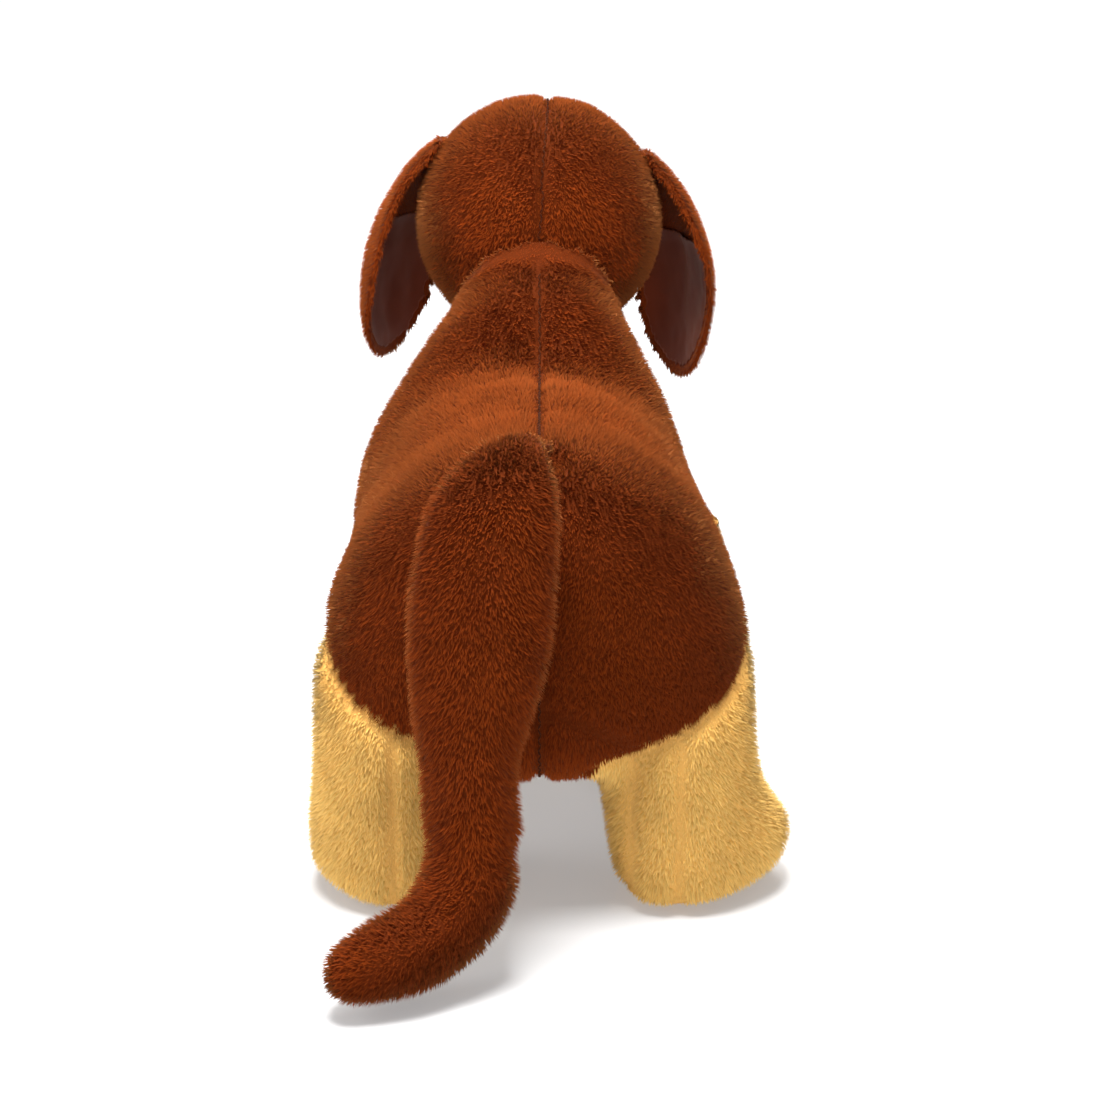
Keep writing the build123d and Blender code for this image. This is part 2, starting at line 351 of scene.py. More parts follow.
class Materials:
    """Makes each finish once, as shader nodes, and hands it out by name."""

    def __init__(self) -> None:
        self.made: dict[str, bpy.types.Material] = {}

    def start(self, name: str) -> tuple[bpy.types.Material, bpy.types.NodeTree, bpy.types.Node]:
        """Open a new material.

        Args:
            name: the material's name.
        Returns:
            The material, its tree and its Principled node.
        """
        material = bpy.data.materials.new(name)
        material.use_nodes = True
        tree = material.node_tree
        shader = next(n for n in tree.nodes if n.type == "BSDF_PRINCIPLED")
        self.made[name] = material
        return material, tree, shader

    def pile(self, finish: PileFinish) -> bpy.types.Material:
        """Pile whose colour runs from root to tip, lighter or darker from tuft to tuft.

        The tuft's tint is the U of its map, and the height along the hair is the V.

        Args:
            finish: its colours and shine.
        Returns:
            The material.
        """
        if finish.name in self.made:
            return self.made[finish.name]
        material, tree, shader = self.start(finish.name)
        uv = tree.nodes.new("ShaderNodeUVMap")
        uv.uv_map = UV_NAME
        split = tree.nodes.new("ShaderNodeSeparateXYZ")
        along = tree.nodes.new("ShaderNodeValToRGB")
        stops = along.color_ramp.elements
        stops[0].position, stops[0].color = 0.05, (*finish.root, 1)
        stops[1].position, stops[1].color = 1.0, (*finish.tip, 1)
        middle = stops.new(0.5)
        middle.color = (*finish.middle, 1)
        # The tint in U holds tone that differs at random, and the painted light and shade set in plant.
        tint = tree.nodes.new("ShaderNodeMapRange")
        tint.inputs["To Min"].default_value = 0.66
        tint.inputs["To Max"].default_value = 1.34
        shade = tree.nodes.new("ShaderNodeVectorMath")
        shade.operation = "SCALE"
        tree.links.new(uv.outputs["UV"], split.inputs[0])
        tree.links.new(split.outputs["Y"], along.inputs["Fac"])
        tree.links.new(split.outputs["X"], tint.inputs["Value"])
        tree.links.new(along.outputs["Color"], shade.inputs[0])
        tree.links.new(tint.outputs["Result"], shade.inputs["Scale"])
        tree.links.new(shade.outputs["Vector"], shader.inputs["Base Color"])
        shader.inputs["Roughness"].default_value = finish.roughness
        shader.inputs["Specular IOR Level"].default_value = 0.04
        shader.inputs["Sheen Weight"].default_value = finish.sheen
        shader.inputs["Sheen Roughness"].default_value = 0.45
        shader.inputs["Sheen Tint"].default_value = (*finish.sheen_tint, 1)
        return material

    def cloth(
        self, name: str, dark: Sequence[float], light: Sequence[float], cell: float,
        roughness: float, sheen: float, bump: float, mask: tuple[Sequence[float], str] | None = None,
    ) -> bpy.types.Material:
        """Knitted or woven cloth: two shades mixed by fine noise, with its own relief.

        Args:
            name: the material's name.
            dark: the darker shade.
            light: the lighter shade.
            cell: size of the knit.
            roughness: the middle of its roughness.
            sheen: weight of its sheen.
            bump: height of its relief.
            mask: a second colour, and the attribute that says where it is.
        Returns:
            The material.
        """
        if name in self.made:
            return self.made[name]
        material, tree, shader = self.start(name)
        place = tree.nodes.new("ShaderNodeTexCoord")
        fine = tree.nodes.new("ShaderNodeTexNoise")
        fine.inputs["Scale"].default_value = 1 / cell
        fine.inputs["Detail"].default_value = 3
        broad = tree.nodes.new("ShaderNodeTexNoise")
        broad.inputs["Scale"].default_value = 40
        mix = tree.nodes.new("ShaderNodeMix")
        mix.data_type = "RGBA"
        mix.inputs["A"].default_value = (*dark, 1)
        mix.inputs["B"].default_value = (*light, 1)
        add = tree.nodes.new("ShaderNodeMath")
        add.operation = "MULTIPLY_ADD"
        add.inputs[1].default_value = 0.5
        tree.links.new(place.outputs["Object"], fine.inputs["Vector"])
        tree.links.new(place.outputs["Object"], broad.inputs["Vector"])
        tree.links.new(fine.outputs["Fac"], add.inputs[0])
        half = tree.nodes.new("ShaderNodeMath")
        half.operation = "MULTIPLY"
        half.inputs[1].default_value = 0.5
        tree.links.new(broad.outputs["Fac"], half.inputs[0])
        tree.links.new(half.outputs[0], add.inputs[2])
        tree.links.new(add.outputs[0], mix.inputs["Factor"])
        colour = mix.outputs["Result"]
        if mask:
            where = tree.nodes.new("ShaderNodeAttribute")
            where.attribute_name = mask[1]
            second = tree.nodes.new("ShaderNodeMix")
            second.data_type = "RGBA"
            second.inputs["B"].default_value = (*mask[0], 1)
            tree.links.new(colour, second.inputs["A"])
            tree.links.new(where.outputs["Fac"], second.inputs["Factor"])
            colour = second.outputs["Result"]
        tree.links.new(colour, shader.inputs["Base Color"])
        relief = tree.nodes.new("ShaderNodeBump")
        relief.inputs["Distance"].default_value = bump
        relief.inputs["Strength"].default_value = 0.6
        tree.links.new(fine.outputs["Fac"], relief.inputs["Height"])
        tree.links.new(relief.outputs["Normal"], shader.inputs["Normal"])
        rough = tree.nodes.new("ShaderNodeMapRange")
        rough.inputs["To Min"].default_value = roughness - 0.12
        rough.inputs["To Max"].default_value = roughness + 0.12
        tree.links.new(fine.outputs["Fac"], rough.inputs["Value"])
        tree.links.new(rough.outputs["Result"], shader.inputs["Roughness"])
        shader.inputs["Specular IOR Level"].default_value = 0.04
        shader.inputs["Sheen Weight"].default_value = sheen
        shader.inputs["Sheen Roughness"].default_value = 0.4
        shader.inputs["Sheen Tint"].default_value = (1.0, 0.5, 0.3, 1)
        return material

    def thread(self) -> bpy.types.Material:
        """Dark brown sewing thread.

        Returns:
            The material.
        """
        return self.cloth("thread", (0.030, 0.007, 0.0020), (0.07, 0.016, 0.004), 0.4 * MM, 0.7,
                          0.1, 0.05 * MM)

    def plastic(self, name: str, colour: Sequence[float], roughness: float) -> bpy.types.Material:
        """Moulded plastic with faint uneven gloss.

        Args:
            name: the material's name.
            colour: its colour.
            roughness: its mean roughness.
        Returns:
            The material.
        """
        if name in self.made:
            return self.made[name]
        material, tree, shader = self.start(name)
        place = tree.nodes.new("ShaderNodeTexCoord")
        fine = tree.nodes.new("ShaderNodeTexNoise")
        fine.inputs["Scale"].default_value = 260
        rough = tree.nodes.new("ShaderNodeMapRange")
        rough.inputs["To Min"].default_value = roughness * 0.7
        rough.inputs["To Max"].default_value = roughness * 1.4
        tree.links.new(place.outputs["Object"], fine.inputs["Vector"])
        tree.links.new(fine.outputs["Fac"], rough.inputs["Value"])
        tree.links.new(rough.outputs["Result"], shader.inputs["Roughness"])
        shader.inputs["Base Color"].default_value = (*colour, 1)
        shader.inputs["Coat Weight"].default_value = 0.4
        shader.inputs["Coat Roughness"].default_value = 0.08
        return material


# ------------------------------------------------------------------ skins
class Skin:
    """A closed skin fused from CAD solids, swelled by cloth simulation between its seams."""

    def __init__(self, name: str, nodes: Iterable[str], voxel: float, balls: Sequence = ()) -> None:
        """Fuse the nodes and extra balls into one closed mesh.

        Args:
            name: the piece's name.
            nodes: CAD nodes whose solids it covers.
            voxel: cell of the remesh.
            balls: (centre, radius) pairs that fill inner gaps.
        """
        self.name = name
        self.nodes = list(nodes)
        parts = [Surface.of(frame["nodes"][node]) for node in self.nodes]
        shapes = [(part.points, part.triangles) for part in parts]
        shapes += [ball_mesh(np.array(centre), radius) for centre, radius in balls]
        starts = np.cumsum([0] + [len(points) for points, _ in shapes])
        points = np.vstack([points for points, _ in shapes])
        faces = np.vstack([faces + start for (_, faces), start in zip(shapes, starts)])
        self.obj = new_object(name, points, faces)
        remesh = self.obj.modifiers.new("fuse", "REMESH")
        remesh.mode = "VOXEL"
        remesh.voxel_size = voxel
        apply_modifiers(self.obj)
        self.keep_outside()
        LOG.info("%s fused from %d solids: %d faces", name, len(shapes), len(self.obj.data.polygons))

    def keep_outside(self) -> None:
        """Drop any inner shells that the remesh left in closed hollows."""
        import bmesh
        work = bmesh.new()
        work.from_mesh(self.obj.data)
        left = set(work.verts)
        shells = []
        while left:
            front = [left.pop()]
            shell = list(front)
            while front:
                vertex = front.pop()
                for edge in vertex.link_edges:
                    other = edge.other_vert(vertex)
                    if other in left:
                        left.remove(other)
                        front.append(other)
                        shell.append(other)
            shells.append(shell)
        shells.sort(key=len)
        for shell in shells[:-1]:
            bmesh.ops.delete(work, geom=shell, context="VERTS")
        work.to_mesh(self.obj.data)
        work.free()

    def relax(self, rounds: int, keep: Field | None = None) -> None:
        """Smooth away the steps of the remesh.

        Args:
            rounds: how many times.
            keep: says which points stay as they are.
        """
        smooth = self.obj.modifiers.new("relax", "SMOOTH")
        smooth.iterations = rounds
        if keep is not None:
            free = self.obj.vertex_groups.new(name="free")
            index = np.flatnonzero(~keep(Surface.of(self.obj).points))
            free.add(index.tolist(), 1.0, "REPLACE")
            smooth.vertex_group = "free"
        apply_modifiers(self.obj)
        self.obj.vertex_groups.clear()

    def push(self, amount: Array | float) -> None:
        """Move the skin along its normals.

        Args:
            amount: how far outwards, for all or for each point.
        """
        surface = Surface.of(self.obj)
        amounts = np.broadcast_to(amount, (len(surface.points),))[:, None]
        set_points(self.obj, surface.points + surface.normals * amounts)

    def swell(self, held: Array, pressure: float, cap: float, shrink: float = 0.0) -> None:
        """Blow the skin up as cloth, held at its seams, and cap how far it moves.

        Args:
            held: how firmly each point is held, from 0 to 1.
            pressure: pressure of the fill.
            cap: the furthest that a point may move.
            shrink: how much shorter the cloth's threads want to be.
        """
        before = Surface.of(self.obj).points
        group = self.obj.vertex_groups.new(name="held")
        for step in np.unique(np.round(held, 1)):
            index = np.flatnonzero(np.round(held, 1) == step)
            group.add(index.tolist(), float(step), "REPLACE")
        cloth = self.obj.modifiers.new("swell", "CLOTH")
        settings = cloth.settings
        settings.quality = 4
        settings.mass = 0.3
        settings.tension_stiffness = 12
        settings.compression_stiffness = 12
        settings.shear_stiffness = 4
        settings.bending_stiffness = 0.6
        settings.use_pressure = True
        settings.uniform_pressure_force = pressure
        settings.shrink_min = shrink
        settings.vertex_group_mass = "held"
        settings.pin_stiffness = 1.0
        settings.effector_weights.gravity = 0
        cloth.collision_settings.use_collision = False
        scene = bpy.context.scene
        for number in range(1, 21):
            scene.frame_set(number)
        apply_modifiers(self.obj)
        scene.frame_set(1)
        self.obj.vertex_groups.clear()
        after = Surface.of(self.obj).points
        move = after - before
        reach = np.linalg.norm(move, axis=1, keepdims=True)
        move *= np.minimum(1, cap / np.maximum(reach, 1e-9))
        set_points(self.obj, before + move)
        LOG.info("%s swelled by up to %.1f mm", self.name, 1000 * min(reach.max(), cap))


# ------------------------------------------------------------------ pile
@dataclass(frozen=True)
class Groom:
    """How a pile is cut and brushed."""

    length: float = 4.2 * MM
    width: float = 1.05 * MM
    spacing: float = 1.16 * MM
    lean: float = 58.0
    tousle: float = 0.28
    clump: float = 0.14


@dataclass
class Roots:
    """Where tufts grow, with the skin's normal there."""

    places: Array
    normals: Array

    def pick(self, chosen: Array) -> "Roots":
        """Keep some of the roots.

        Args:
            chosen: a mask or indices.
        Returns:
            The chosen ones.
        """
        return Roots(self.places[chosen], self.normals[chosen])


def scatter(surface: Surface, spacing: float, seed: int, density: Field | None = None) -> Roots:
    """Spread roots evenly: each triangle gets its area's share, at random places inside it.

    Args:
        surface: the skin.
        spacing: mean distance between tufts.
        seed: seeds the random places.
        density: thins the pile where it is under 1.
    Returns:
        The roots.
    """
    rng = np.random.default_rng(seed)
    a, b, c = (surface.points[surface.triangles[:, k]] for k in range(3))
    area = np.linalg.norm(np.cross(b - a, c - a), axis=1) / 2
    share = area / spacing**2
    if density is not None:
        share = share * density((a + b + c) / 3)
    count = np.floor(share + rng.random(len(share))).astype(int)
    chosen = np.repeat(np.arange(len(count)), count)
    u, v = rng.random(len(chosen)), rng.random(len(chosen))
    over = u + v > 1
    u[over], v[over] = 1 - u[over], 1 - v[over]
    weights = np.stack([1 - u - v, u, v], axis=1)[:, :, None]
    corners = surface.triangles[chosen]
    places = (surface.points[corners] * weights).sum(axis=1)
    normals = unit((surface.normals[corners] * weights).sum(axis=1))
    return Roots(places, normals)


def plant(
    name: str, roots: Roots, flow: Array, groom: Groom, material: bpy.types.Material,
    cut: Array | float = 1.0, seed: int = 1, lift: Array | float = 0.0, nap: Array | float = 0.0,
) -> bpy.types.Object:
    """Grow one closed, tapered tuft of four faces from each root.

    A tuft's base is a low ridge across the flow, just under the skin, and its tip lies along
    normal times sin(lean) plus flow times cos(lean), both bent by smooth noise so that
    neighbours part and gather as brushed plush does.

    Args:
        name: the piece's name.
        roots: where they grow.
        flow: which way the pile is brushed at each root.
        groom: its cut.
        material: its finish.
        cut: length of each tuft, as a share of the groom's.
        seed: seeds the unevenness.
        lift: extra lean in degrees.
        nap: painted light and shade in the pile's tone, paler where light falls and darker where shade falls,
            from -0.45 to 0.45.
    Returns:
        The pile as one object.
    """
    rng = np.random.default_rng(seed)
    p, n = roots.places, roots.normals
    count = len(p)
    clumps = noise_vector(p, 5.5 * MM, 11) * groom.clump + noise_vector(p, 19 * MM, 23) * 0.30
    loose = rng.normal(0, groom.tousle, (count, 3))
    along = flow + clumps + loose
    along = unit(along - n * (along * n).sum(axis=1, keepdims=True))
    lean = np.radians(groom.lean + lift + 9 * noise(p, 24 * MM, 31) + rng.normal(0, 6, count))
    lean = np.clip(lean, math.radians(14), math.radians(84))[:, None]
    way = n * np.sin(lean) + along * np.cos(lean)
    side = unit(np.cross(n, along))
    size = (rng.uniform(0.75, 1.2, count) * (1 + 0.12 * noise(p, 9 * MM, 41)) * cut)[:, None]
    length = groom.length * size
    width = groom.width * rng.uniform(0.75, 1.25, count)[:, None] * np.clip(size, 0.5, 1)
    sunk = p - n * 0.6 * MM
    left = sunk - side * width / 2
    right = sunk + side * width / 2
    ridge = sunk + n * width * 0.55
    tip = p + way * length
    points = np.stack([left, right, ridge, tip], axis=1).reshape(-1, 3)
    first = np.arange(count)[:, None] * 4
    pattern = np.array([[0, 2, 3], [2, 1, 3], [1, 0, 3], [0, 1, 2]])
    faces = (first[:, :, None] + pattern[None]).reshape(-1, 3)
    if count and outside_in(points[:4], pattern):
        faces = faces[:, ::-1]
    obj = new_object(name, points, faces)
    # The shift passed in adds painted light and shade to the tone; the two noises are tone that differs at
    # random.
    shade = 0.5 + nap + 0.13 * noise(p, 30 * MM, 51) + 0.14 * noise(p, 7 * MM, 61)
    tint = np.clip(shade + rng.normal(0, 0.10, count), 0.03, 0.97)
    lay_map(obj, tint, faces)
    soften(obj, n, side, way)
    obj.data.materials.append(material)
    LOG.info("%s: %d tufts", name, count)
    return obj


def outside_in(points: Array, faces: Array) -> bool:
    """Tell whether a small closed mesh has its faces turned inwards.

    Args:
        points: its points.
        faces: its triangles.
    Returns:
        True if its volume comes out negative.
    """
    a, b, c = (points[faces[:, k]] for k in range(3))
    return float((a * np.cross(b, c)).sum()) < 0


def lay_map(obj: bpy.types.Object, tint: Array, faces: Array) -> None:
    """Map each tuft: U is its tint, spread a little, and V runs from its root to its tip.

    Args:
        obj: the pile.
        tint: one number for each tuft.
        faces: the pile's triangles.
    """
    u = np.stack([tint - 0.02, tint + 0.02, tint, tint], axis=1).ravel()
    v = np.tile([0.02, 0.02, 0.16, 0.98], len(tint))
    layer = obj.data.uv_layers.new(name=UV_NAME)
    layer.data.foreach_set("uv", np.stack([u, v], axis=1)[faces.ravel()].astype(np.float32).ravel())


def soften(obj: bpy.types.Object, normals: Array, side: Array, way: Array) -> None:
    """Shade each tuft partly as the skin under it, so that the pile looks soft.

    Args:
        obj: the pile.
        normals: the skin's normal at each root.
        side: across each tuft.
        way: along each tuft.
    """
    across = unit(normals - way * (normals * way).sum(axis=1, keepdims=True))
    low = unit(across * 0.6 + normals * 0.6)
    left = unit(low - side * 0.26)
    right = unit(low + side * 0.26)
    tip = unit(low + way * 0.30)
    shading = np.stack([left, right, low, tip], axis=1).reshape(-1, 3)
    obj.data.normals_split_custom_set_from_vertices(shading.astype(np.float32).tolist())


# ------------------------------------------------------------------ seams
@dataclass(frozen=True)
class Thread:
    """Size of the stitches of one seam."""

    pitch: float = 2.9 * MM
    length: float = 3.3 * MM
    radius: float = 0.42 * MM
    slant: float = 24.0


def on_skin(skin: bpy.types.Object, starts: Array, ways: Array) -> tuple[Array, Array]:
    """Cast a line of points onto a skin.

    Args:
        skin: the skin.
        starts: n by 3 places outside it.
        ways: n by 3 directions towards it.
    Returns:
        Where they land, and the skin's normals there.
    """
    tree = BVHTree.FromObject(skin, bpy.context.evaluated_depsgraph_get())
    hits = [tree.ray_cast(Vector(a), Vector(b), 0.3) for a, b in zip(starts, ways)]
    hits = [(place, normal) for place, normal, _, _ in hits if place is not None]
    return np.array([h[0] for h in hits]), np.array([h[1] for h in hits])


def sew(
    name: str, path: Array, normals: Array, thread: Thread, material: bpy.types.Material,
    height: float = 1.2 * MM,
) -> bpy.types.Object:
    """Lay a row of slanting stitches along a path, leaning left and right in turn.

    A stitch is a capsule: its axis is a line of its length, bowed up in the middle, and its
    radius at a share t of the half length is radius times the square root of 1 - t squared.

    Args:
        name: the piece's name.
        path: n by 3 places along the seam.
        normals: the skin's normals there.
        thread: the stitches' size.
        material: their finish.
        height: how far above the skin they lie.
    Returns:
        The stitches as one object.
    """
    steps = np.concatenate([[0], np.cumsum(np.linalg.norm(np.diff(path, axis=0), axis=1))])
    count = max(2, int(steps[-1] / thread.pitch))
    at = (np.arange(count) + 0.5) * steps[-1] / count
    spread = [np.interp(at, steps, path[:, k]) for k in range(3)]
    centre = np.stack(spread, axis=1)
    up = unit(np.stack([np.interp(at, steps, normals[:, k]) for k in range(3)], axis=1))
    along = unit(np.gradient(centre, axis=0))
    side = unit(np.cross(up, along))
    turn = np.radians(thread.slant) * np.where(np.arange(count) % 2, 1, -1)[:, None]
    axis, across = along * np.cos(turn) + side * np.sin(turn), side * np.cos(turn) - along * np.sin(turn)
    u = np.linspace(-0.96, 0.96, 7)[:, None]
    v = np.linspace(0, 2 * math.pi, 8, endpoint=False)[None, :]
    fat = thread.radius * np.sqrt(1 - u**2)
    local = np.stack([
        u * thread.length / 2 + 0 * v, fat * np.cos(v),
        fat * np.sin(v) + thread.radius * 0.8 * (1 - u**2),
    ], axis=-1).reshape(-1, 3)
    base = centre + up * height
    points = base[:, None] + (
        local[None, :, :1] * axis[:, None] + local[None, :, 1:2] * across[:, None]
        + local[None, :, 2:] * up[:, None]
    )
    rows, ring = 7, 8
    i, j = np.arange(rows - 1)[:, None] * ring, np.arange(ring)[None, :]
    k = (j + 1) % ring
    sides = np.concatenate([
        np.stack([i + j, i + k, i + ring + k], -1).reshape(-1, 3),
        np.stack([i + j, i + ring + k, i + ring + j], -1).reshape(-1, 3),
    ])
    fan = np.arange(1, ring - 1)
    low = np.stack([0 * fan, fan + 1, fan], -1)
    high = np.stack([0 * fan, fan, fan + 1], -1) + (rows - 1) * ring
    pattern = np.concatenate([sides, low, high])
    if outside_in(points[0], pattern):
        pattern = pattern[:, ::-1]
    faces = (np.arange(count)[:, None, None] * rows * ring + pattern[None]).reshape(-1, 3)
    obj = new_object(name, points.reshape(-1, 3), faces)
    obj.data.materials.append(material)
    LOG.info("%s: %d stitches", name, count)
    return obj


# ------------------------------------------------------------------ regions of the body
@dataclass(frozen=True)
class Leg:
    """One leg: its CAD name, its axis and the seam where its tan cloth meets the brown."""

    name: str
    x: float
    y: float
    toes_out: float
    seam_height: float
    rise_out: float = 0.45
    rise_ahead: float = 0.0

    def seam(self, p: Array) -> Array:
        """Height of points above the leg's slanting seam, square to it.

        Args:
            p: n by 3 places.
        Returns:
            n distances, negative below the seam.
        """
        height = self.seam_height + self.rise_out * np.abs(p[:, 0])
        height = height - self.rise_ahead * (p[:, 1] - self.y)
        steep = math.sqrt(1 + self.rise_out**2 + self.rise_ahead**2)
        return (p[:, 2] - height) / steep

    def near(self, p: Array) -> Array:
        """Distance from the leg's upright axis, less the leg's own radius.

        Args:
            p: n by 3 places.
        Returns:
            n distances, negative inside.
        """
        return np.hypot(p[:, 0] - self.x, p[:, 1] - self.y) - 44.3 * MM

    def holds(self, p: Array) -> Array:
        """Which points lie on the leg's tan cloth.

        Args:
            p: n by 3 places.
        Returns:
            A mask.
        """
        low = p[:, 2] < 60 * MM
        own_side = np.sign(p[:, 0]) == np.sign(self.x)
        by_end = np.abs(p[:, 1] - self.y) < 90 * MM
        return own_side & by_end & (low | ((self.seam(p) < 0) & (self.near(p) < 4 * MM)))


def sole_centre(leg: str) -> Array:
    """Middle of a leg's sole, from the frame.

    Args:
        leg: the leg's name.
    Returns:
        Its place.
    """
    low, high = (np.array(corner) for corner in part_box(f"{leg}_sole"))
    return (low + high) / 2


HIND_Y = 131 * MM
FRONT_Y = -59 * MM
PILE_SPLIT_Y = 40 * MM
LEGS = [
    Leg("hind_leg_left", 70.0 * MM, HIND_Y, 16, 83 * MM, rise_ahead=0.49),
    Leg("hind_leg_right", -66.5 * MM, HIND_Y, 36, 83 * MM, rise_ahead=0.49),
    Leg("front_leg_left", 64 * MM, FRONT_Y, 9, 100 * MM),
    Leg("front_leg_right", -64 * MM, FRONT_Y, 9, 100 * MM),
]


class Panel(Enum):
    """Cloth panels of the body and legs."""

    LEFT = 0
    RIGHT = 1
    BELLY = 2
    CHEST = 3
    LEG = 4


def body_panel(p: Array) -> Array:
    """Which panel each point of the body is on.

    Args:
        p: n by 3 places on the skin.
    Returns:
        n numbers: a Panel's value, or Panel.LEG's plus the number of the leg.
    """
    panel = np.where(p[:, 0] >= 0, Panel.LEFT.value, Panel.RIGHT.value)
    panel[belly_edge(p) < 0] = Panel.BELLY.value
    panel[chest_edge(p) < 0] = Panel.CHEST.value
    for number, leg in enumerate(LEGS):
        panel[leg.holds(p)] = Panel.LEG.value + number
    return panel


def belly_edge(p: Array) -> Array:
    """Distance outside the belly strip, which rises to a point below the tail.

    Args:
        p: n by 3 places.
    Returns:
        n distances, negative inside.
    """
    slope = 112 * MM + 0.42 * (p[:, 1] - HIND_Y - 45 * MM) - 0.36 * np.abs(p[:, 0])
    rise = (p[:, 2] - slope) / 1.15
    side = np.abs(p[:, 0]) - 44 * MM
    front = HIND_Y - 178 * MM - p[:, 1]
    return np.maximum(np.maximum(rise, side), front)


def chest_edge(p: Array) -> Array:
    """Distance outside the oval bib.

    Args:
        p: n by 3 places.
    Returns:
        n distances, negative inside.
    """
    oval = np.hypot(p[:, 0] / (46 * MM), (p[:, 2] - 152 * MM) / (62 * MM)) - 1
    return np.maximum(oval * 50 * MM, p[:, 1] - (FRONT_Y - 20 * MM))


def body_seam(p: Array) -> Array:
    """Distance to the nearest seam of the body.

    Args:
        p: n by 3 places on the skin.
    Returns:
        n distances.
    """
    near = np.abs(p[:, 0])
    near = np.minimum(near, np.abs(belly_edge(p)))
    near = np.where(p[:, 1] < FRONT_Y, np.minimum(near, np.abs(chest_edge(p))), near)
    for leg in LEGS:
        close = leg.near(p) < 12 * MM
        near = np.where(close, np.minimum(near, np.abs(leg.seam(p))), near)
        below = close & (leg.seam(p) < 0)
        near = np.where(below, np.minimum(near, np.abs(p[:, 0] - leg.x)), near)
    rim = np.linalg.norm(p - HEAD_CENTRE, axis=1) - (HEAD_RADIUS + 3.2 * MM)
    return np.minimum(near, np.abs(rim))


def back_painted_light_and_shade(p: Array) -> Array:
    """Painted light and shade in the brown pile's tone: a painted highlight, paler over the top of the back and
    on the neck, and painted shade, darker on the right haunch and under the rump.

    Args:
        p: n by 3 places.
    Returns:
        n shifts, positive where it is paler.
    """
    over = ramp(p[:, 2], 0.196, 0.226) * ramp(p[:, 1], -0.085, -0.045) * (1 - ramp(p[:, 1], 0.05, 0.11))
    haunch = ramp(p[:, 1], 0.05, 0.12) * ramp(p[:, 2], 0.225, 0.175)
    right = 0.14 + 0.86 * ramp(-p[:, 0], -5 * MM, 40 * MM)
    neck = ramp(p[:, 2], 0.20, 0.23) * (1 - over) * (p[:, 1] < -0.04)
    return 0.44 * over - 0.42 * haunch * right + 0.12 * neck


def near_neck(p: Array) -> Array:
    """How close points are to the neck's opening, a hollow round the ball of the head.

    Args:
        p: n by 3 places.
    Returns:
        1 on the opening's rim, 0 from 14 mm away.
    """
    return 1 - ramp(np.linalg.norm(p - HEAD_CENTRE, axis=1), 75 * MM, 89 * MM)


def body_flow(p: Array) -> Array:
    """Which way the body's pile is brushed: back and down, and straight down on the legs.

    Args:
        p: n by 3 places.
    Returns:
        n by 3 directions.
    """
    back = np.array([0, 0.75, -0.6])
    down = np.array([0, 0.1, -1.0])
    low = ramp(p[:, 2], 130 * MM, 70 * MM)[:, None]
    return back * (1 - low) + down * low


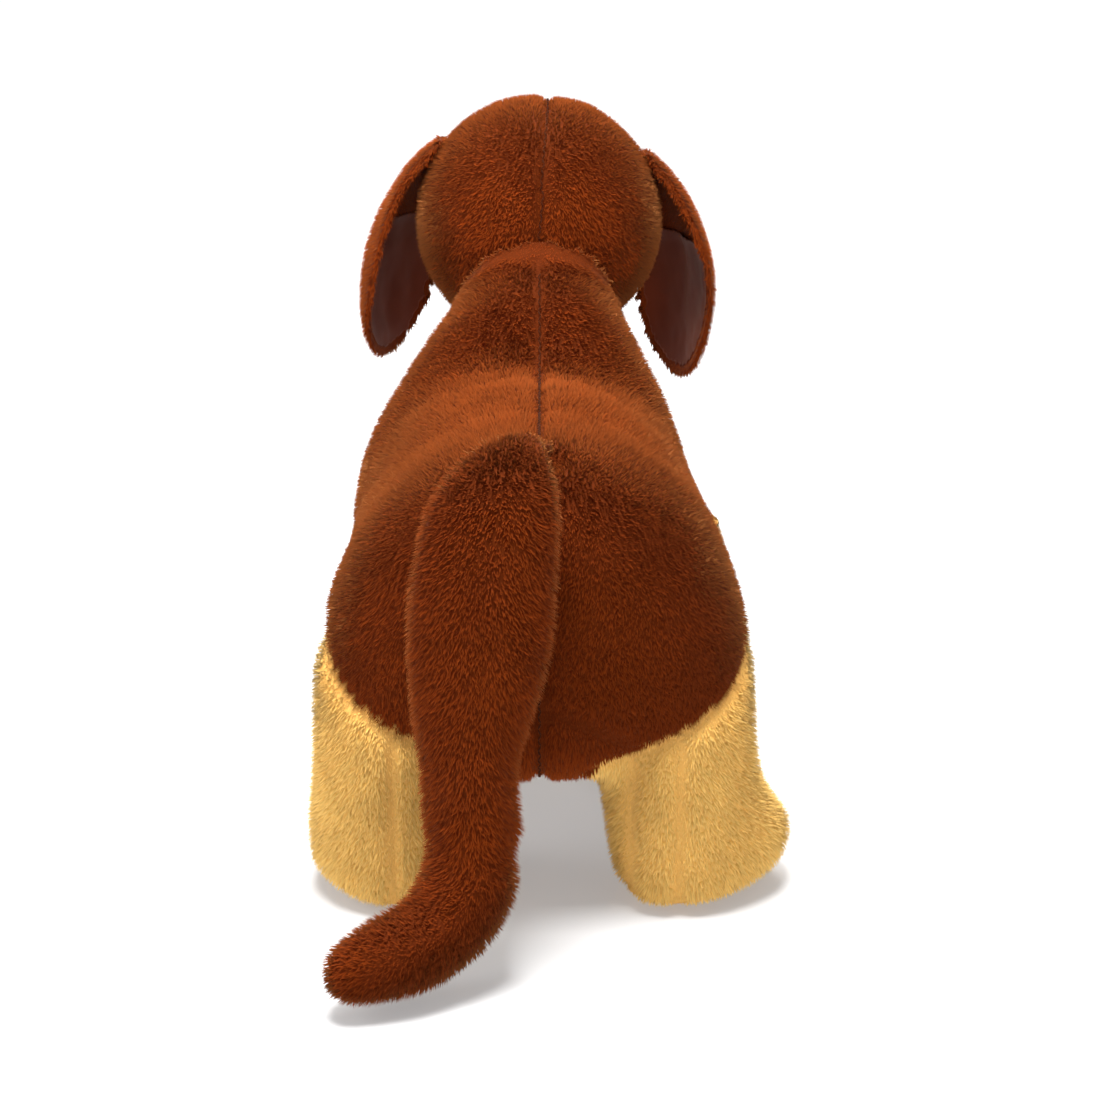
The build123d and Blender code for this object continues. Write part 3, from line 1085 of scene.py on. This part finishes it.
# ------------------------------------------------------------------ the dog's sub-assemblies
class Body:
    """Body and legs: one padded skin, and a pile for each panel."""

    groom = Groom()
    tan_groom = Groom(length=4.2 * MM, lean=58)
    sunk = 4.7 * MM

    def __init__(self, materials: Materials) -> None:
        """Keep the material library.

        Args:
            materials: where finishes come from.
        """
        self.materials = materials

    def nodes(self) -> list[str]:
        """Names of the CAD nodes that ride on the torso.

        Returns:
            The names.
        """
        return list(frame["record"]["behaviour"]["bodies"]["torso"])

    def make(self) -> None:
        """Make the skin, swell it, and plant its piles."""
        skin = Skin("body_skin", self.nodes(), 4.5 * MM)
        skin.relax(6, keep=lambda p: near_neck(p) > 0.2)
        points = Surface.of(skin.obj).points
        skin.push((self.sunk - 0.5 * MM) * near_neck(points) - self.sunk)
        set_points(skin.obj, self.shape(Surface.of(skin.obj).points))
        points = Surface.of(skin.obj).points
        seam = body_seam(points)
        cup = np.linalg.norm(points - HEAD_CENTRE, axis=1) < HEAD_RADIUS + 8 * MM
        held = np.clip(1 - ramp(seam, 1 * MM, 9 * MM), 0, 1)
        held[cup | (points[:, 2] < 8 * MM)] = 1
        skin.swell(held, pressure=3.0, cap=2.0 * MM)
        self.ripple(skin)
        points = Surface.of(skin.obj).points
        seam = body_seam(points)
        floor = points[:, 2] < 8 * MM
        skin.push(np.where(floor, 0, -2.2 * MM * np.exp(-((seam / (3.5 * MM)) ** 2))))
        points = Surface.of(skin.obj).points
        panel = body_panel(points)
        tan = (panel >= Panel.CHEST.value).astype(np.float32)
        layer = skin.obj.data.attributes.new("tan", "FLOAT", "POINT")
        layer.data.foreach_set("value", tan)
        backing = self.materials.cloth(
            "body_backing", (0.075, 0.012, 0.0018), (0.15, 0.026, 0.0035), 0.9 * MM, 0.8, 0.1,
            0.2 * MM, mask=((0.78, 0.43, 0.115), "tan"),
        )
        skin.obj.data.materials.append(backing)
        self.sew_spine(skin.obj)
        self.finish_skin(skin)
        self.plant_panels(skin.obj)

    def sew_spine(self, skin: bpy.types.Object) -> None:
        """Stitch the seam down the middle of the back and the rump.

        Args:
            skin: the body's skin.
        """
        angle = np.linspace(math.radians(128), math.radians(-28), 160)
        ways = np.stack([0 * angle, np.cos(angle), np.sin(angle)], axis=1)
        middle = np.array([0, 0.02, 0.13])
        path, normals = on_skin(skin, middle + ways * 0.28, -ways)
        far = np.linalg.norm(path - HEAD_CENTRE, axis=1) > HEAD_RADIUS + 4 * MM
        seam = sew("spine_stitches", path[far], normals[far], Thread(),
                   self.materials.thread(), height=1.6 * MM)
        bend_neck(seam)

    @staticmethod
    def shape(p: Array) -> Array:
        """Settle the stuffing: the right haunch a little slimmer, its foot a little wider.

        Args:
            p: n by 3 places.
        Returns:
            Their new places.
        """
        haunch = ramp(-p[:, 0], 60 * MM, 105 * MM) * np.exp(-(((p[:, 2] - 0.165) / 0.05) ** 2))
        toe = ramp(-p[:, 0], 85 * MM, 125 * MM) * ramp(p[:, 1], 40 * MM, 90 * MM)
        toe = toe * np.exp(-(((p[:, 2] - 0.034) / 0.022) ** 2))
        moved = p.copy()
        moved[:, 0] += 3.0 * MM * haunch - 6.0 * MM * toe
        return moved + unit(HEAD_CENTRE - p) * near_neck(p)[:, None] * 4.5 * MM

    @staticmethod
    def ripple(skin: Skin) -> None:
        """Ripples across the back, where the cloth bunches over the haunches, and soft dents.

        Args:
            skin: the body's skin.
        """
        p = Surface.of(skin.obj).points
        back = ramp(p[:, 2], 0.205, 0.235) * ramp(p[:, 1], -0.075, -0.035)
        back = back * (1 - ramp(p[:, 1], 0.06, 0.11)) * (1 - ramp(np.abs(p[:, 0]), 0.05, 0.085))
        across = noise(p * np.array([0.16, 1, 1]), 7 * MM, 71)
        skin.push(back * across * 1.1 * MM + noise(p, 26 * MM, 73) * 0.9 * MM)

    def finish_skin(self, skin: Skin) -> None:
        """Bake the skin's transform, and hide the CAD stuffing, soles and neck tape that it stands for.

        Args:
            skin: the fused skin.
        """
        bend_neck(skin.obj)
        inner = [n for n in self.nodes() if "stuffing" in n or "sole" in n]
        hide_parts(*inner, "neck_seam_tape")

    def plant_panels(self, skin: bpy.types.Object) -> None:
        """Plant the pile of every panel.

        Args:
            skin: the finished skin.
        """
        surface = Surface.of(skin)
        roots = scatter(surface, self.groom.spacing, 5, density=thin_below)
        inwards = HEAD_CENTRE - roots.places
        in_cup = (unit(inwards) * roots.normals).sum(axis=1) > 0.5
        in_cup &= np.linalg.norm(inwards, axis=1) < HEAD_RADIUS + 14 * MM
        open_air = ~in_cup & (roots.places[:, 2] > 3.0 * MM)
        near_root = np.linalg.norm(roots.places - TAIL_ROOT, axis=1) < 8 * MM
        roots = roots.pick(open_air & ~near_root)
        panel = body_panel(roots.places)
        names = {
            Panel.LEFT.value: "body_panel_left",
            Panel.RIGHT.value: "body_panel_right",
            Panel.BELLY.value: "belly_panel",
            Panel.CHEST.value: "chest_panel",
        }
        for value, node in names.items():
            own = roots.pick(panel == value)
            if value in (Panel.LEFT.value, Panel.RIGHT.value):
                ahead = own.places[:, 1] < PILE_SPLIT_Y
                self.plant_one(own.pick(ahead), node, False, "_front")
                own = own.pick(~ahead)
            self.plant_one(own, node, value == Panel.CHEST.value)
        for number, leg in enumerate(LEGS):
            own = roots.pick(panel == Panel.LEG.value + number)
            outer = np.abs(own.places[:, 0]) > abs(leg.x)
            self.plant_one(own.pick(outer), f"{leg.name}_outer_panel", True)
            self.plant_one(own.pick(~outer), f"{leg.name}_inner_panel", True)

    def plant_one(self, roots: Roots, node: str, tan: bool, part: str = "") -> None:
        """Plant one panel's pile.

        Args:
            roots: where it grows.
            node: the CAD panel that it stands for.
            tan: tan pile rather than brown.
            part: says which part of a long panel this is; the main part has none.
        """
        seam = body_seam(roots.places)
        cut = 0.5 + 0.5 * ramp(seam, 0.5 * MM, 6 * MM)
        cut = cut * (0.35 + 0.65 * ramp(roots.places[:, 2], 1 * MM, 12 * MM))
        groom = self.tan_groom if tan else self.groom
        finish = self.materials.pile(TAN if tan else BROWN)
        # The brown panels get painted light and shade in their tone: paler over the back and neck, darker on
        # the right haunch and under the rump.
        pile = plant(
            node.replace("_panel", "") + part + "_pile", roots, body_flow(roots.places), groom, finish,
            cut, seed=len(node), lift=-34 * near_neck(roots.places), nap=0.0 if tan else back_painted_light_and_shade(roots.places),
        )
        if "leg" in node or node == "belly_panel":
            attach(pile, "torso")
        else:
            bend_neck(pile)
        if not part:
            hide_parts(node)


def thin_below(p: Array) -> Array:
    """Pile density: half as thick on the underside of the belly, where nothing sees it.

    Args:
        p: n by 3 places.
    Returns:
        n shares.
    """
    under = (p[:, 2] < 85 * MM) & (np.abs(p[:, 0]) < 30 * MM) & (p[:, 1] < HIND_Y)
    return np.where(under, 0.55, 1.0)


def bend_neck(obj: bpy.types.Object) -> None:
    """Bake a piece's transform into its mesh.

    Args:
        obj: the piece.
    """
    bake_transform(obj)


class Head:
    """Head: padded skin, pile, eyes, nose and mouth."""

    groom = Groom(length=4.0 * MM)

    def __init__(self, materials: Materials) -> None:
        """Keep the material library.

        Args:
            materials: where finishes come from.
        """
        self.materials = materials

    def make(self) -> None:
        """Make the skin, its pile and the face."""
        nodes = [
            "head_panel_left", "head_panel_right", "muzzle_panel", "chin_panel",
            "brow_spot_left", "brow_spot_right", "head_stuffing",
        ]
        skin = Skin("head_skin", nodes, 4 * MM, balls=[(HEAD_CENTRE, HEAD_RADIUS - 2 * MM)])
        skin.relax(8)
        skin.push(-4.2 * MM)
        local = in_head(Surface.of(skin.obj).points)
        seam = self.seam(local)
        held = np.clip(1 - ramp(seam, 1 * MM, 9 * MM), 0, 1)
        skin.swell(held, pressure=3.0, cap=1.6 * MM)
        local = in_head(Surface.of(skin.obj).points)
        skin.push(noise(local, 22 * MM, 81) * 0.8 * MM * ramp(local[:, 1], -30 * MM, 10 * MM))
        skin.push(-2.0 * MM * np.exp(-((self.seam(local) / (3.2 * MM)) ** 2)))
        local = in_head(Surface.of(skin.obj).points)
        layer = skin.obj.data.attributes.new("tan", "FLOAT", "POINT")
        layer.data.foreach_set("value", (self.region(local) > 1).astype(np.float32))
        skin.obj.data.materials.append(self.materials.made["body_backing"])
        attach(skin.obj, "head")
        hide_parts("head_stuffing")
        self.sew_seams(skin.obj)
        self.plant_panels(skin.obj)
        self.face()

    def sew_seams(self, skin: bpy.types.Object) -> None:
        """Stitch the seam over the back of the head, and the mouth under the nose.

        Args:
            skin: the head's skin.
        """
        angle = np.linspace(math.radians(118), math.radians(-38), 120)
        ways = np.stack([0 * angle, np.cos(angle), np.sin(angle)], axis=1)
        path, normals = on_skin(skin, from_head(ways * 0.12), -ways @ HEAD_TURN.T)
        crown = sew("crown_stitches", path, normals, Thread(), self.materials.thread(), 1.6 * MM)
        t = np.linspace(0, 1, 24)
        drop = np.stack([0 * t, 0 * t - 1, -0.018 - 0.020 * t], axis=1)
        arc = np.linspace(0, 1, 40)[:, None] * np.array([1, 0, 0])
        lines = [drop]
        for side in (-1, 1):
            x = side * 0.024 * arc[:, 0]
            z = -0.038 - 0.008 * np.sin(arc[:, 0] * math.pi * 0.75)
            lines.append(np.stack([x, 0 * x - 1, z], axis=1))
        pieces = [crown]
        for number, line in enumerate(lines):
            starts = line * np.array([1, 0, 1]) + np.array([0, -0.16, 0])
            ways = np.tile(np.array([0, 1.0, 0]) @ HEAD_TURN.T, (len(line), 1))
            path, normals = on_skin(skin, from_head(starts), ways)
            pieces.append(sew(
                f"mouth_stitches_{number}", path, normals,
                Thread(pitch=2.0 * MM, length=2.6 * MM, radius=0.6 * MM, slant=4),
                self.materials.thread(), 2.4 * MM,
            ))
        for piece in pieces:
            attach(piece, "head")

    @staticmethod
    def muzzle(p: Array) -> Array:
        """How far points are into the muzzle, ahead of the head's ball.

        Args:
            p: n by 3 places in the head's frame.
        Returns:
            n distances, positive on the muzzle.
        """
        return np.linalg.norm(p, axis=1) - (HEAD_RADIUS + 1.0 * MM)

    def region(self, p: Array) -> Array:
        """Which cloth each point of the head is on.

        Args:
            p: n by 3 places in the head's frame.
        Returns:
            0 left, 1 right, 2 muzzle, 3 chin, 4 left brow, 5 right brow.
        """
        region = np.where(p[:, 0] >= 0, 0, 1)
        ahead = (p[:, 1] < 0) & (self.muzzle(p) > 0)
        region[ahead] = 2
        region[ahead & (p[:, 2] < -33 * MM)] = 3
        for number, side in enumerate((1, -1)):
            region[self.brow(p, side) < 0] = 4 + number
        return region

    @staticmethod
    def brow(p: Array, side: int) -> Array:
        """Distance outside one brow spot.

        Args:
            p: n by 3 places in the head's frame.
            side: 1 left, -1 right.
        Returns:
            n distances, negative inside.
        """
        way = unit(np.array([side * 0.36, -0.73, 0.58]))
        return np.linalg.norm(unit(p) - way, axis=1) * HEAD_RADIUS - 8 * MM

    def seam(self, p: Array) -> Array:
        """Distance to the nearest seam of the head.

        Args:
            p: n by 3 places in the head's frame.
        Returns:
            n distances.
        """
        ahead = p[:, 1] < 0
        near = np.abs(p[:, 0])
        edge = np.abs(self.muzzle(p))
        chin = np.where(self.muzzle(p) > 0, np.abs(p[:, 2] + 33 * MM), 1)
        return np.where(ahead, np.minimum(np.minimum(near, edge), chin), near)

    def plant_panels(self, skin: bpy.types.Object) -> None:
        """Plant the pile of every panel of the head.

        Args:
            skin: the finished skin.
        """
        surface = Surface.of(skin)
        roots = scatter(surface, self.groom.spacing, 7)
        neck_way = np.array([0, 0.72, -0.69])
        roots = roots.pick((roots.places - HEAD_CENTRE) @ neck_way < 60 * MM)
        local = in_head(roots.places)
        region = self.region(local)
        names = [
            "head_panel_left", "head_panel_right", "muzzle_panel", "chin_panel",
            "brow_spot_left", "brow_spot_right",
        ]
        for value, node in enumerate(names):
            own = roots.pick(region == value)
            p = in_head(own.places)
            tan = value > 1
            face = ramp(p[:, 1], 0.0, -55 * MM)
            eyes = np.minimum(*(np.linalg.norm(p - eye_place(s), axis=1) for s in (1, -1)))
            nose = np.linalg.norm(p - np.array(NOSE_PLACE), axis=1)
            cut = (1 - 0.42 * face) * (0.55 + 0.45 * ramp(self.seam(p), 0.5 * MM, 6 * MM))
            cut = cut * (0.25 + 0.75 * ramp(np.minimum(eyes - 7 * MM, nose - 10 * MM), 0, 7 * MM))
            bare = (eyes > 7.5 * MM) & (nose > 9 * MM)
            own, cut, p = own.pick(bare), cut[bare], p[bare]
            flow = head_flow(p) @ HEAD_TURN.T
            # The brown head pile gets a painted highlight: its tone is paler towards the back of the head.
            pile = plant(
                node.replace("_panel", "") + "_pile", own, flow, self.groom,
                self.materials.pile(TAN if tan else BROWN), cut, seed=40 + value,
                lift=-10 * ramp(p[:, 1], 0.0, -60 * MM),
                nap=0.0 if tan else 0.30 * ramp(p[:, 1], -40 * MM, 10 * MM),
            )
            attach(pile, "head")
            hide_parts(node)

    def face(self) -> None:
        """Finish the plastic eyes and nose, and their washers."""
        black = self.materials.plastic("black_gloss", (0.008, 0.006, 0.005), 0.12)
        pale = self.materials.plastic("washer_white", (0.8, 0.8, 0.78), 0.4)
        for node in ("eye_left", "eye_right", "nose"):
            paint(node, black)
        for node in ("eye_washer_left", "eye_washer_right", "nose_washer"):
            paint(node, pale)


NOSE_PLACE = (0.0, -108 * MM, -8 * MM)


def eye_place(side: int) -> Array:
    """Where an eye sits, in the head's frame.

    Args:
        side: 1 left, -1 right.
    Returns:
        Its place.
    """
    return unit(np.array([side * 0.42, -0.86, 0.26])) * (HEAD_RADIUS - 2 * MM)


def head_flow(p: Array) -> Array:
    """Which way the head's pile is brushed: back from the nose, and down behind.

    Args:
        p: n by 3 places in the head's frame.
    Returns:
        n by 3 directions in the head's frame.
    """
    return np.array([0, 0.85, -0.4]) + p * np.array([6.0, 0, 0])


def paint(node: str, material: bpy.types.Material) -> None:
    """Give a carried-over CAD node a better material.

    Args:
        node: the CAD node.
        material: its new finish.
    """
    obj = frame["nodes"][node]
    for slot in obj.material_slots:
        slot.link = "OBJECT"
        slot.material = material


class Tail:
    """Tail: one padded skin from the sewn root to the tip, and its pile."""

    groom = Groom(length=4.8 * MM, lean=52)

    def __init__(self, materials: Materials) -> None:
        """Keep the material library.

        Args:
            materials: where finishes come from.
        """
        self.materials = materials

    def make(self) -> None:
        """Make the skin and the pile of the tail."""
        nodes = [
            "tail_root", "tail_upper_skin", "tail_upper_stuffing", "tail_end_skin",
            "tail_end_stuffing",
        ]
        above = TAIL_BEND + np.array([0, -2 * MM, 13 * MM])
        fillers = [(TAIL_BEND, 24.5 * MM), (above, 24.5 * MM)]
        skin = Skin("tail_skin", nodes, 4 * MM, balls=fillers)
        skin.relax(8)
        skin.push(-4.6 * MM)
        points = Surface.of(skin.obj).points
        held = np.where(np.linalg.norm(points - TAIL_ROOT, axis=1) < 20 * MM, 1.0, 0.0)
        skin.swell(held, pressure=3.0, cap=1.6 * MM)
        skin.push(noise(Surface.of(skin.obj).points, 24 * MM, 91) * 1.3 * MM)
        skin.obj.data.materials.append(self.materials.cloth(
            "tail_backing", (0.075, 0.012, 0.0018), (0.15, 0.026, 0.0035), 0.9 * MM, 0.8, 0.1,
            0.2 * MM,
        ))
        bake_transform(skin.obj)
        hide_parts(*nodes)
        roots = scatter(Surface.of(skin.obj), self.groom.spacing, 9)
        clear = roots.places[:, 2] > 4.5 * MM
        roots = roots.pick(clear)
        cut = 0.55 + 0.45 * ramp(roots.places[:, 2], 4 * MM, 14 * MM)
        near_root = np.linalg.norm(roots.places - TAIL_ROOT, axis=1)
        cut = cut * (0.5 + 0.5 * ramp(near_root, 10 * MM, 35 * MM))
        # The tail pile's tone is darkened all over as painted shade.
        pile = plant("tail_pile", roots, self.flow(roots.places), self.groom,
                     self.materials.pile(BROWN), cut, seed=77, nap=-0.24)
        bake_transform(pile)

    @staticmethod
    def bend_zone() -> tuple[tuple, tuple]:
        """Where the tail starts and stops bending, either side of its bend.

        Returns:
            The two places.
        """
        return tuple(TAIL_BEND + [-2 * MM, -6 * MM, 16 * MM]), tuple(TAIL_BEND + [8 * MM, 12 * MM, -16 * MM])

    @staticmethod
    def flow(p: Array) -> Array:
        """Which way the tail's pile is brushed: towards its tip.

        Args:
            p: n by 3 places.
        Returns:
            n by 3 directions.
        """
        drop = ramp(np.linalg.norm(p - TAIL_ROOT, axis=1), 15 * MM, 60 * MM)[:, None]
        low = ramp(p[:, 2], 75 * MM, 30 * MM)[:, None]
        out, down, along = np.array([0.1, 0.9, 0.1]), np.array([0.0, 0.15, -1]), np.array([0.77, 0.6, -0.1])
        return (out * (1 - drop) + down * drop) * (1 - low) + along * low


class Ear:
    """One ear: a soft flap, furry outside and over its rim, with a smooth lining inside."""

    groom = Groom(length=3.6 * MM, spacing=1.12 * MM, lean=46)

    def __init__(self, side: int, materials: Materials) -> None:
        """Pick the side.

        Args:
            side: 1 left, -1 right.
            materials: where finishes come from.
        """
        self.side = side
        self.name = "ear_left" if side > 0 else "ear_right"
        self.materials = materials

    def outwards(self, p: Array) -> Array:
        """Direction away from the inside of the ear's curve.

        Args:
            p: n by 3 places in the row frame.
        Returns:
            n by 3 unit directions.
        """
        local = in_head(p) - np.array([self.side * 29, 2, -45]) * MM
        return unit(local / np.array([70, 80, 97]) ** 2) @ HEAD_TURN.T

    def facing(self, surface: Surface) -> Array:
        """How far each point of the flap faces outwards.

        Args:
            surface: the flap.
        Returns:
            1 on the furry outside, -1 on the lined inside, about 0 round the rim.
        """
        return (surface.normals * self.outwards(surface.points)).sum(axis=1)

    def make(self) -> None:
        """Make the flap, its lining and its pile."""
        nodes = [f"{self.name}_outer", f"{self.name}_lining"]
        skin = Skin(f"{self.name}_flap", nodes, 1.9 * MM)
        skin.relax(5)
        set_points(skin.obj, self.fold(Surface.of(skin.obj).points))
        surface = Surface.of(skin.obj)
        facing = self.facing(surface)
        upper = ramp(in_head(surface.points)[:, 2], -16 * MM, -6 * MM) * ramp(-facing, 0.2, 0.6)
        skin.push(np.where(facing > -0.3, -2.4 * MM, 0.0) + 1.2 * MM * upper)
        skin.obj.data.materials.append(self.materials.cloth(
            "ear_backing", (0.075, 0.012, 0.0018), (0.15, 0.026, 0.0035), 0.9 * MM, 0.8, 0.1,
            0.2 * MM,
        ))
        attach(skin.obj, self.name)
        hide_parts(nodes[0])
        surface = Surface.of(skin.obj)
        rim = surface.points[np.abs(self.facing(surface)) < 0.35]
        self.line(surface, rim)
        self.plant(surface, rim)

    def fold(self, p: Array) -> Array:
        """Soft folds that fan out from the ear's root: a sine of the angle about the root.

        Args:
            p: n by 3 places.
        Returns:
            Their new places.
        """
        local = in_head(p) / MM
        fan = np.arctan2(local[:, 1] + 12, 48 - local[:, 2])
        free = ramp(43 - local[:, 2], 10, 80) * (1 - 0.8 * ramp(43 - local[:, 2], 95, 130))
        wave = 2.4 * np.sin(fan * 7 + 1.3 * self.side) * free
        return p + self.outwards(p) * (wave * MM)[:, None]

    def line(self, surface: Surface, rim: Array) -> None:
        """Lay the smooth lining on the inside of the flap, in from its rim and below the fold.

        Args:
            surface: the flap.
            rim: points round its rim.
        """
        from_rim = nearest(surface.points, rim)
        height = in_head(surface.points)[:, 2]
        inside = (self.facing(surface) < -0.35) & (from_rim > 3.2 * MM) & (height < -6 * MM)
        chosen = inside[surface.triangles].all(axis=1)
        used, faces = np.unique(surface.triangles[chosen], return_inverse=True)
        places = surface.points[used]
        puff = ramp(from_rim[used], 3 * MM, 13 * MM)
        crease = noise(places * np.array([1, 1, 0.45]), 15 * MM, 3) * 1.3 + noise(places, 5 * MM, 4) * 0.25
        rise = (0.5 + puff * (0.9 + crease)) * MM
        lining = new_object(
            f"{self.name}_lining_cloth", places + surface.normals[used] * rise[:, None],
            faces.reshape(-1, 3),
        )
        smooth = lining.modifiers.new("smooth", "SMOOTH")
        smooth.iterations = 4
        thick = lining.modifiers.new("thick", "SOLIDIFY")
        thick.thickness = 0.9 * MM
        thick.offset = -1
        apply_modifiers(lining)
        lining.data.materials.append(self.materials.cloth(
            "ear_lining", (0.050, 0.0085, 0.0026), (0.120, 0.021, 0.0066), 0.6 * MM, 0.6, 0.06,
            0.05 * MM,
        ))
        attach(lining, self.name)
        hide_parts(f"{self.name}_lining")

    def plant(self, surface: Surface, rim: Array) -> None:
        """Plant pile outside the ear, over its rim and on the fold at its top.

        Args:
            surface: the flap.
            rim: points round its rim.
        """
        roots = scatter(surface, self.groom.spacing, 13)
        facing = (roots.normals * self.outwards(roots.places)).sum(axis=1)
        height = in_head(roots.places)[:, 2]
        furry = (facing > -0.35) | (nearest(roots.places, rim) < 4.2 * MM) | (height > -9 * MM)
        roots, facing = roots.pick(furry), facing[furry]
        down = np.array([0, 0.1, -1.0]) @ HEAD_TURN.T
        cut = np.where(facing > -0.35, 1.0, 0.6)
        pile = plant(f"{self.name}_pile", roots, np.tile(down, (len(cut), 1)), self.groom,
                     self.materials.pile(BROWN), cut, seed=90 + self.side)
        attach(pile, self.name)


# ------------------------------------------------------------------ studio
@dataclass(frozen=True)
class Camera:
    """Where the camera stands, which way it looks and how long its lens is."""

    place: tuple[float, float, float] = (0.0, 1.522, 0.562)
    pitch_down: float = 15.5
    yaw: float = 0.21
    lens: float = 99.5


class Studio:
    """Pale floor and backdrop, soft lights and the camera."""

    def __init__(self, camera: Camera) -> None:
        """Keep the camera's place.

        Args:
            camera: where it stands.
        """
        self.camera = camera

    def make(self) -> None:
        """Lay the floor, hang the lights and set the camera."""
        self.floor()
        self.lights()
        self.place_camera()

    def floor(self) -> None:
        """A wide flat floor that glows as painted light, whiter far off, and a white backdrop all round it."""
        x, y = np.meshgrid(np.linspace(-28, 28, 57), np.linspace(-28, 28, 57))
        floor = grid("studio_floor", np.stack([x, y, 0 * x], axis=-1))
        material = bpy.data.materials.new("studio_white")
        material.use_nodes = True
        tree = material.node_tree
        shader = tree.nodes["Principled BSDF"]
        place = tree.nodes.new("ShaderNodeTexCoord")
        reach = tree.nodes.new("ShaderNodeVectorMath")
        reach.operation = "LENGTH"
        # Painted light: the floor's glow grows with distance from the middle, so that it turns white far off.
        glow = tree.nodes.new("ShaderNodeMapRange")
        glow.inputs["From Min"].default_value = 0.7
        glow.inputs["From Max"].default_value = 3.0
        glow.inputs["To Min"].default_value = 0.28
        glow.inputs["To Max"].default_value = 0.72
        tree.links.new(place.outputs["Object"], reach.inputs[0])
        tree.links.new(reach.outputs["Value"], glow.inputs["Value"])
        tree.links.new(glow.outputs["Result"], shader.inputs["Emission Strength"])
        shader.inputs["Emission Color"].default_value = (1, 1, 1, 1)
        shader.inputs["Base Color"].default_value = (0.55, 0.55, 0.55, 1)
        shader.inputs["Roughness"].default_value = 0.9
        shader.inputs["Specular IOR Level"].default_value = 0.1
        floor.data.materials.append(material)
        turn = np.linspace(0, 2 * math.pi, 64, endpoint=False)[:, None]
        rise = np.linspace(-0.2, 9, 5)[None, :]
        ring = np.stack([27 * np.cos(turn) + 0 * rise, 27 * np.sin(turn) + 0 * rise, rise + 0 * turn], -1)
        backdrop = grid("studio_backdrop", ring, close_u=True)
        white = bpy.data.materials.new("backdrop_white")
        white.use_nodes = True
        shader = white.node_tree.nodes["Principled BSDF"]
        shader.inputs["Base Color"].default_value = (0.2, 0.2, 0.2, 1)
        shader.inputs["Emission Color"].default_value = (1, 1, 1, 1)
        shader.inputs["Emission Strength"].default_value = 0.9
        backdrop.data.materials.append(white)

    def light(self, name: str, place: tuple, size: float, power: float) -> None:
        """Hang one soft light, aimed at the dog.

        Args:
            name: its name.
            place: where it hangs.
            size: its side.
            power: its power in watts.
        """
        data = bpy.data.lights.new(name, "AREA")
        data.size = size
        data.energy = power
        lamp = bpy.data.objects.new(name, data)
        lamp.location = place
        aim = Vector((0, 0, 0.15)) - Vector(place)
        lamp.rotation_euler = aim.to_track_quat("-Z", "Y").to_euler()
        bpy.context.scene.collection.objects.link(lamp)

    def lights(self) -> None:
        """A soft key high behind the dog, one at its left side, one before it, and a pale sky."""
        self.light("key", (0.12, 0.62, 2.5), 0.9, 104)
        self.light("side", (2.0, 0.3, 1.3), 1.0, 13)
        self.light("front", (-0.2, -1.5, 2.3), 1.2, 52)
        world = bpy.data.worlds.new("studio")
        world.use_nodes = True
        back = world.node_tree.nodes["Background"]
        back.inputs["Color"].default_value = (1, 1, 1, 1)
        back.inputs["Strength"].default_value = 0.40
        bpy.context.scene.world = world
        bpy.context.scene.view_settings.view_transform = "Standard"

    def place_camera(self) -> None:
        """Set the camera behind the dog and above it, looking at the middle of its back."""
        pitch, yaw = math.radians(self.camera.pitch_down), math.radians(self.camera.yaw)
        way = Vector((
            -math.sin(yaw) * math.cos(pitch), -math.cos(yaw) * math.cos(pitch), -math.sin(pitch),
        ))
        data = bpy.data.cameras.new("camera")
        data.sensor_width = 36
        data.lens = self.camera.lens
        data.clip_end = 80
        camera = bpy.data.objects.new("camera", data)
        camera.location = self.camera.place
        camera.rotation_euler = way.to_track_quat("-Z", "Y").to_euler()
        bpy.context.scene.collection.objects.link(camera)
        bpy.context.scene.camera = camera


class PlushDog:
    """The whole dog."""

    def __init__(self) -> None:
        self.materials = Materials()

    def make(self) -> None:
        """Make every sub-assembly."""
        Body(self.materials).make()
        Head(self.materials).make()
        Tail(self.materials).make()
        Ear(1, self.materials).make()
        Ear(-1, self.materials).make()


def main() -> None:
    """Make the dog and its studio."""
    logging.basicConfig(level=logging.INFO, format="%(name)s: %(message)s")
    PlushDog().make()
    Studio(Camera()).make()


if __name__ == "__main__":
    main()
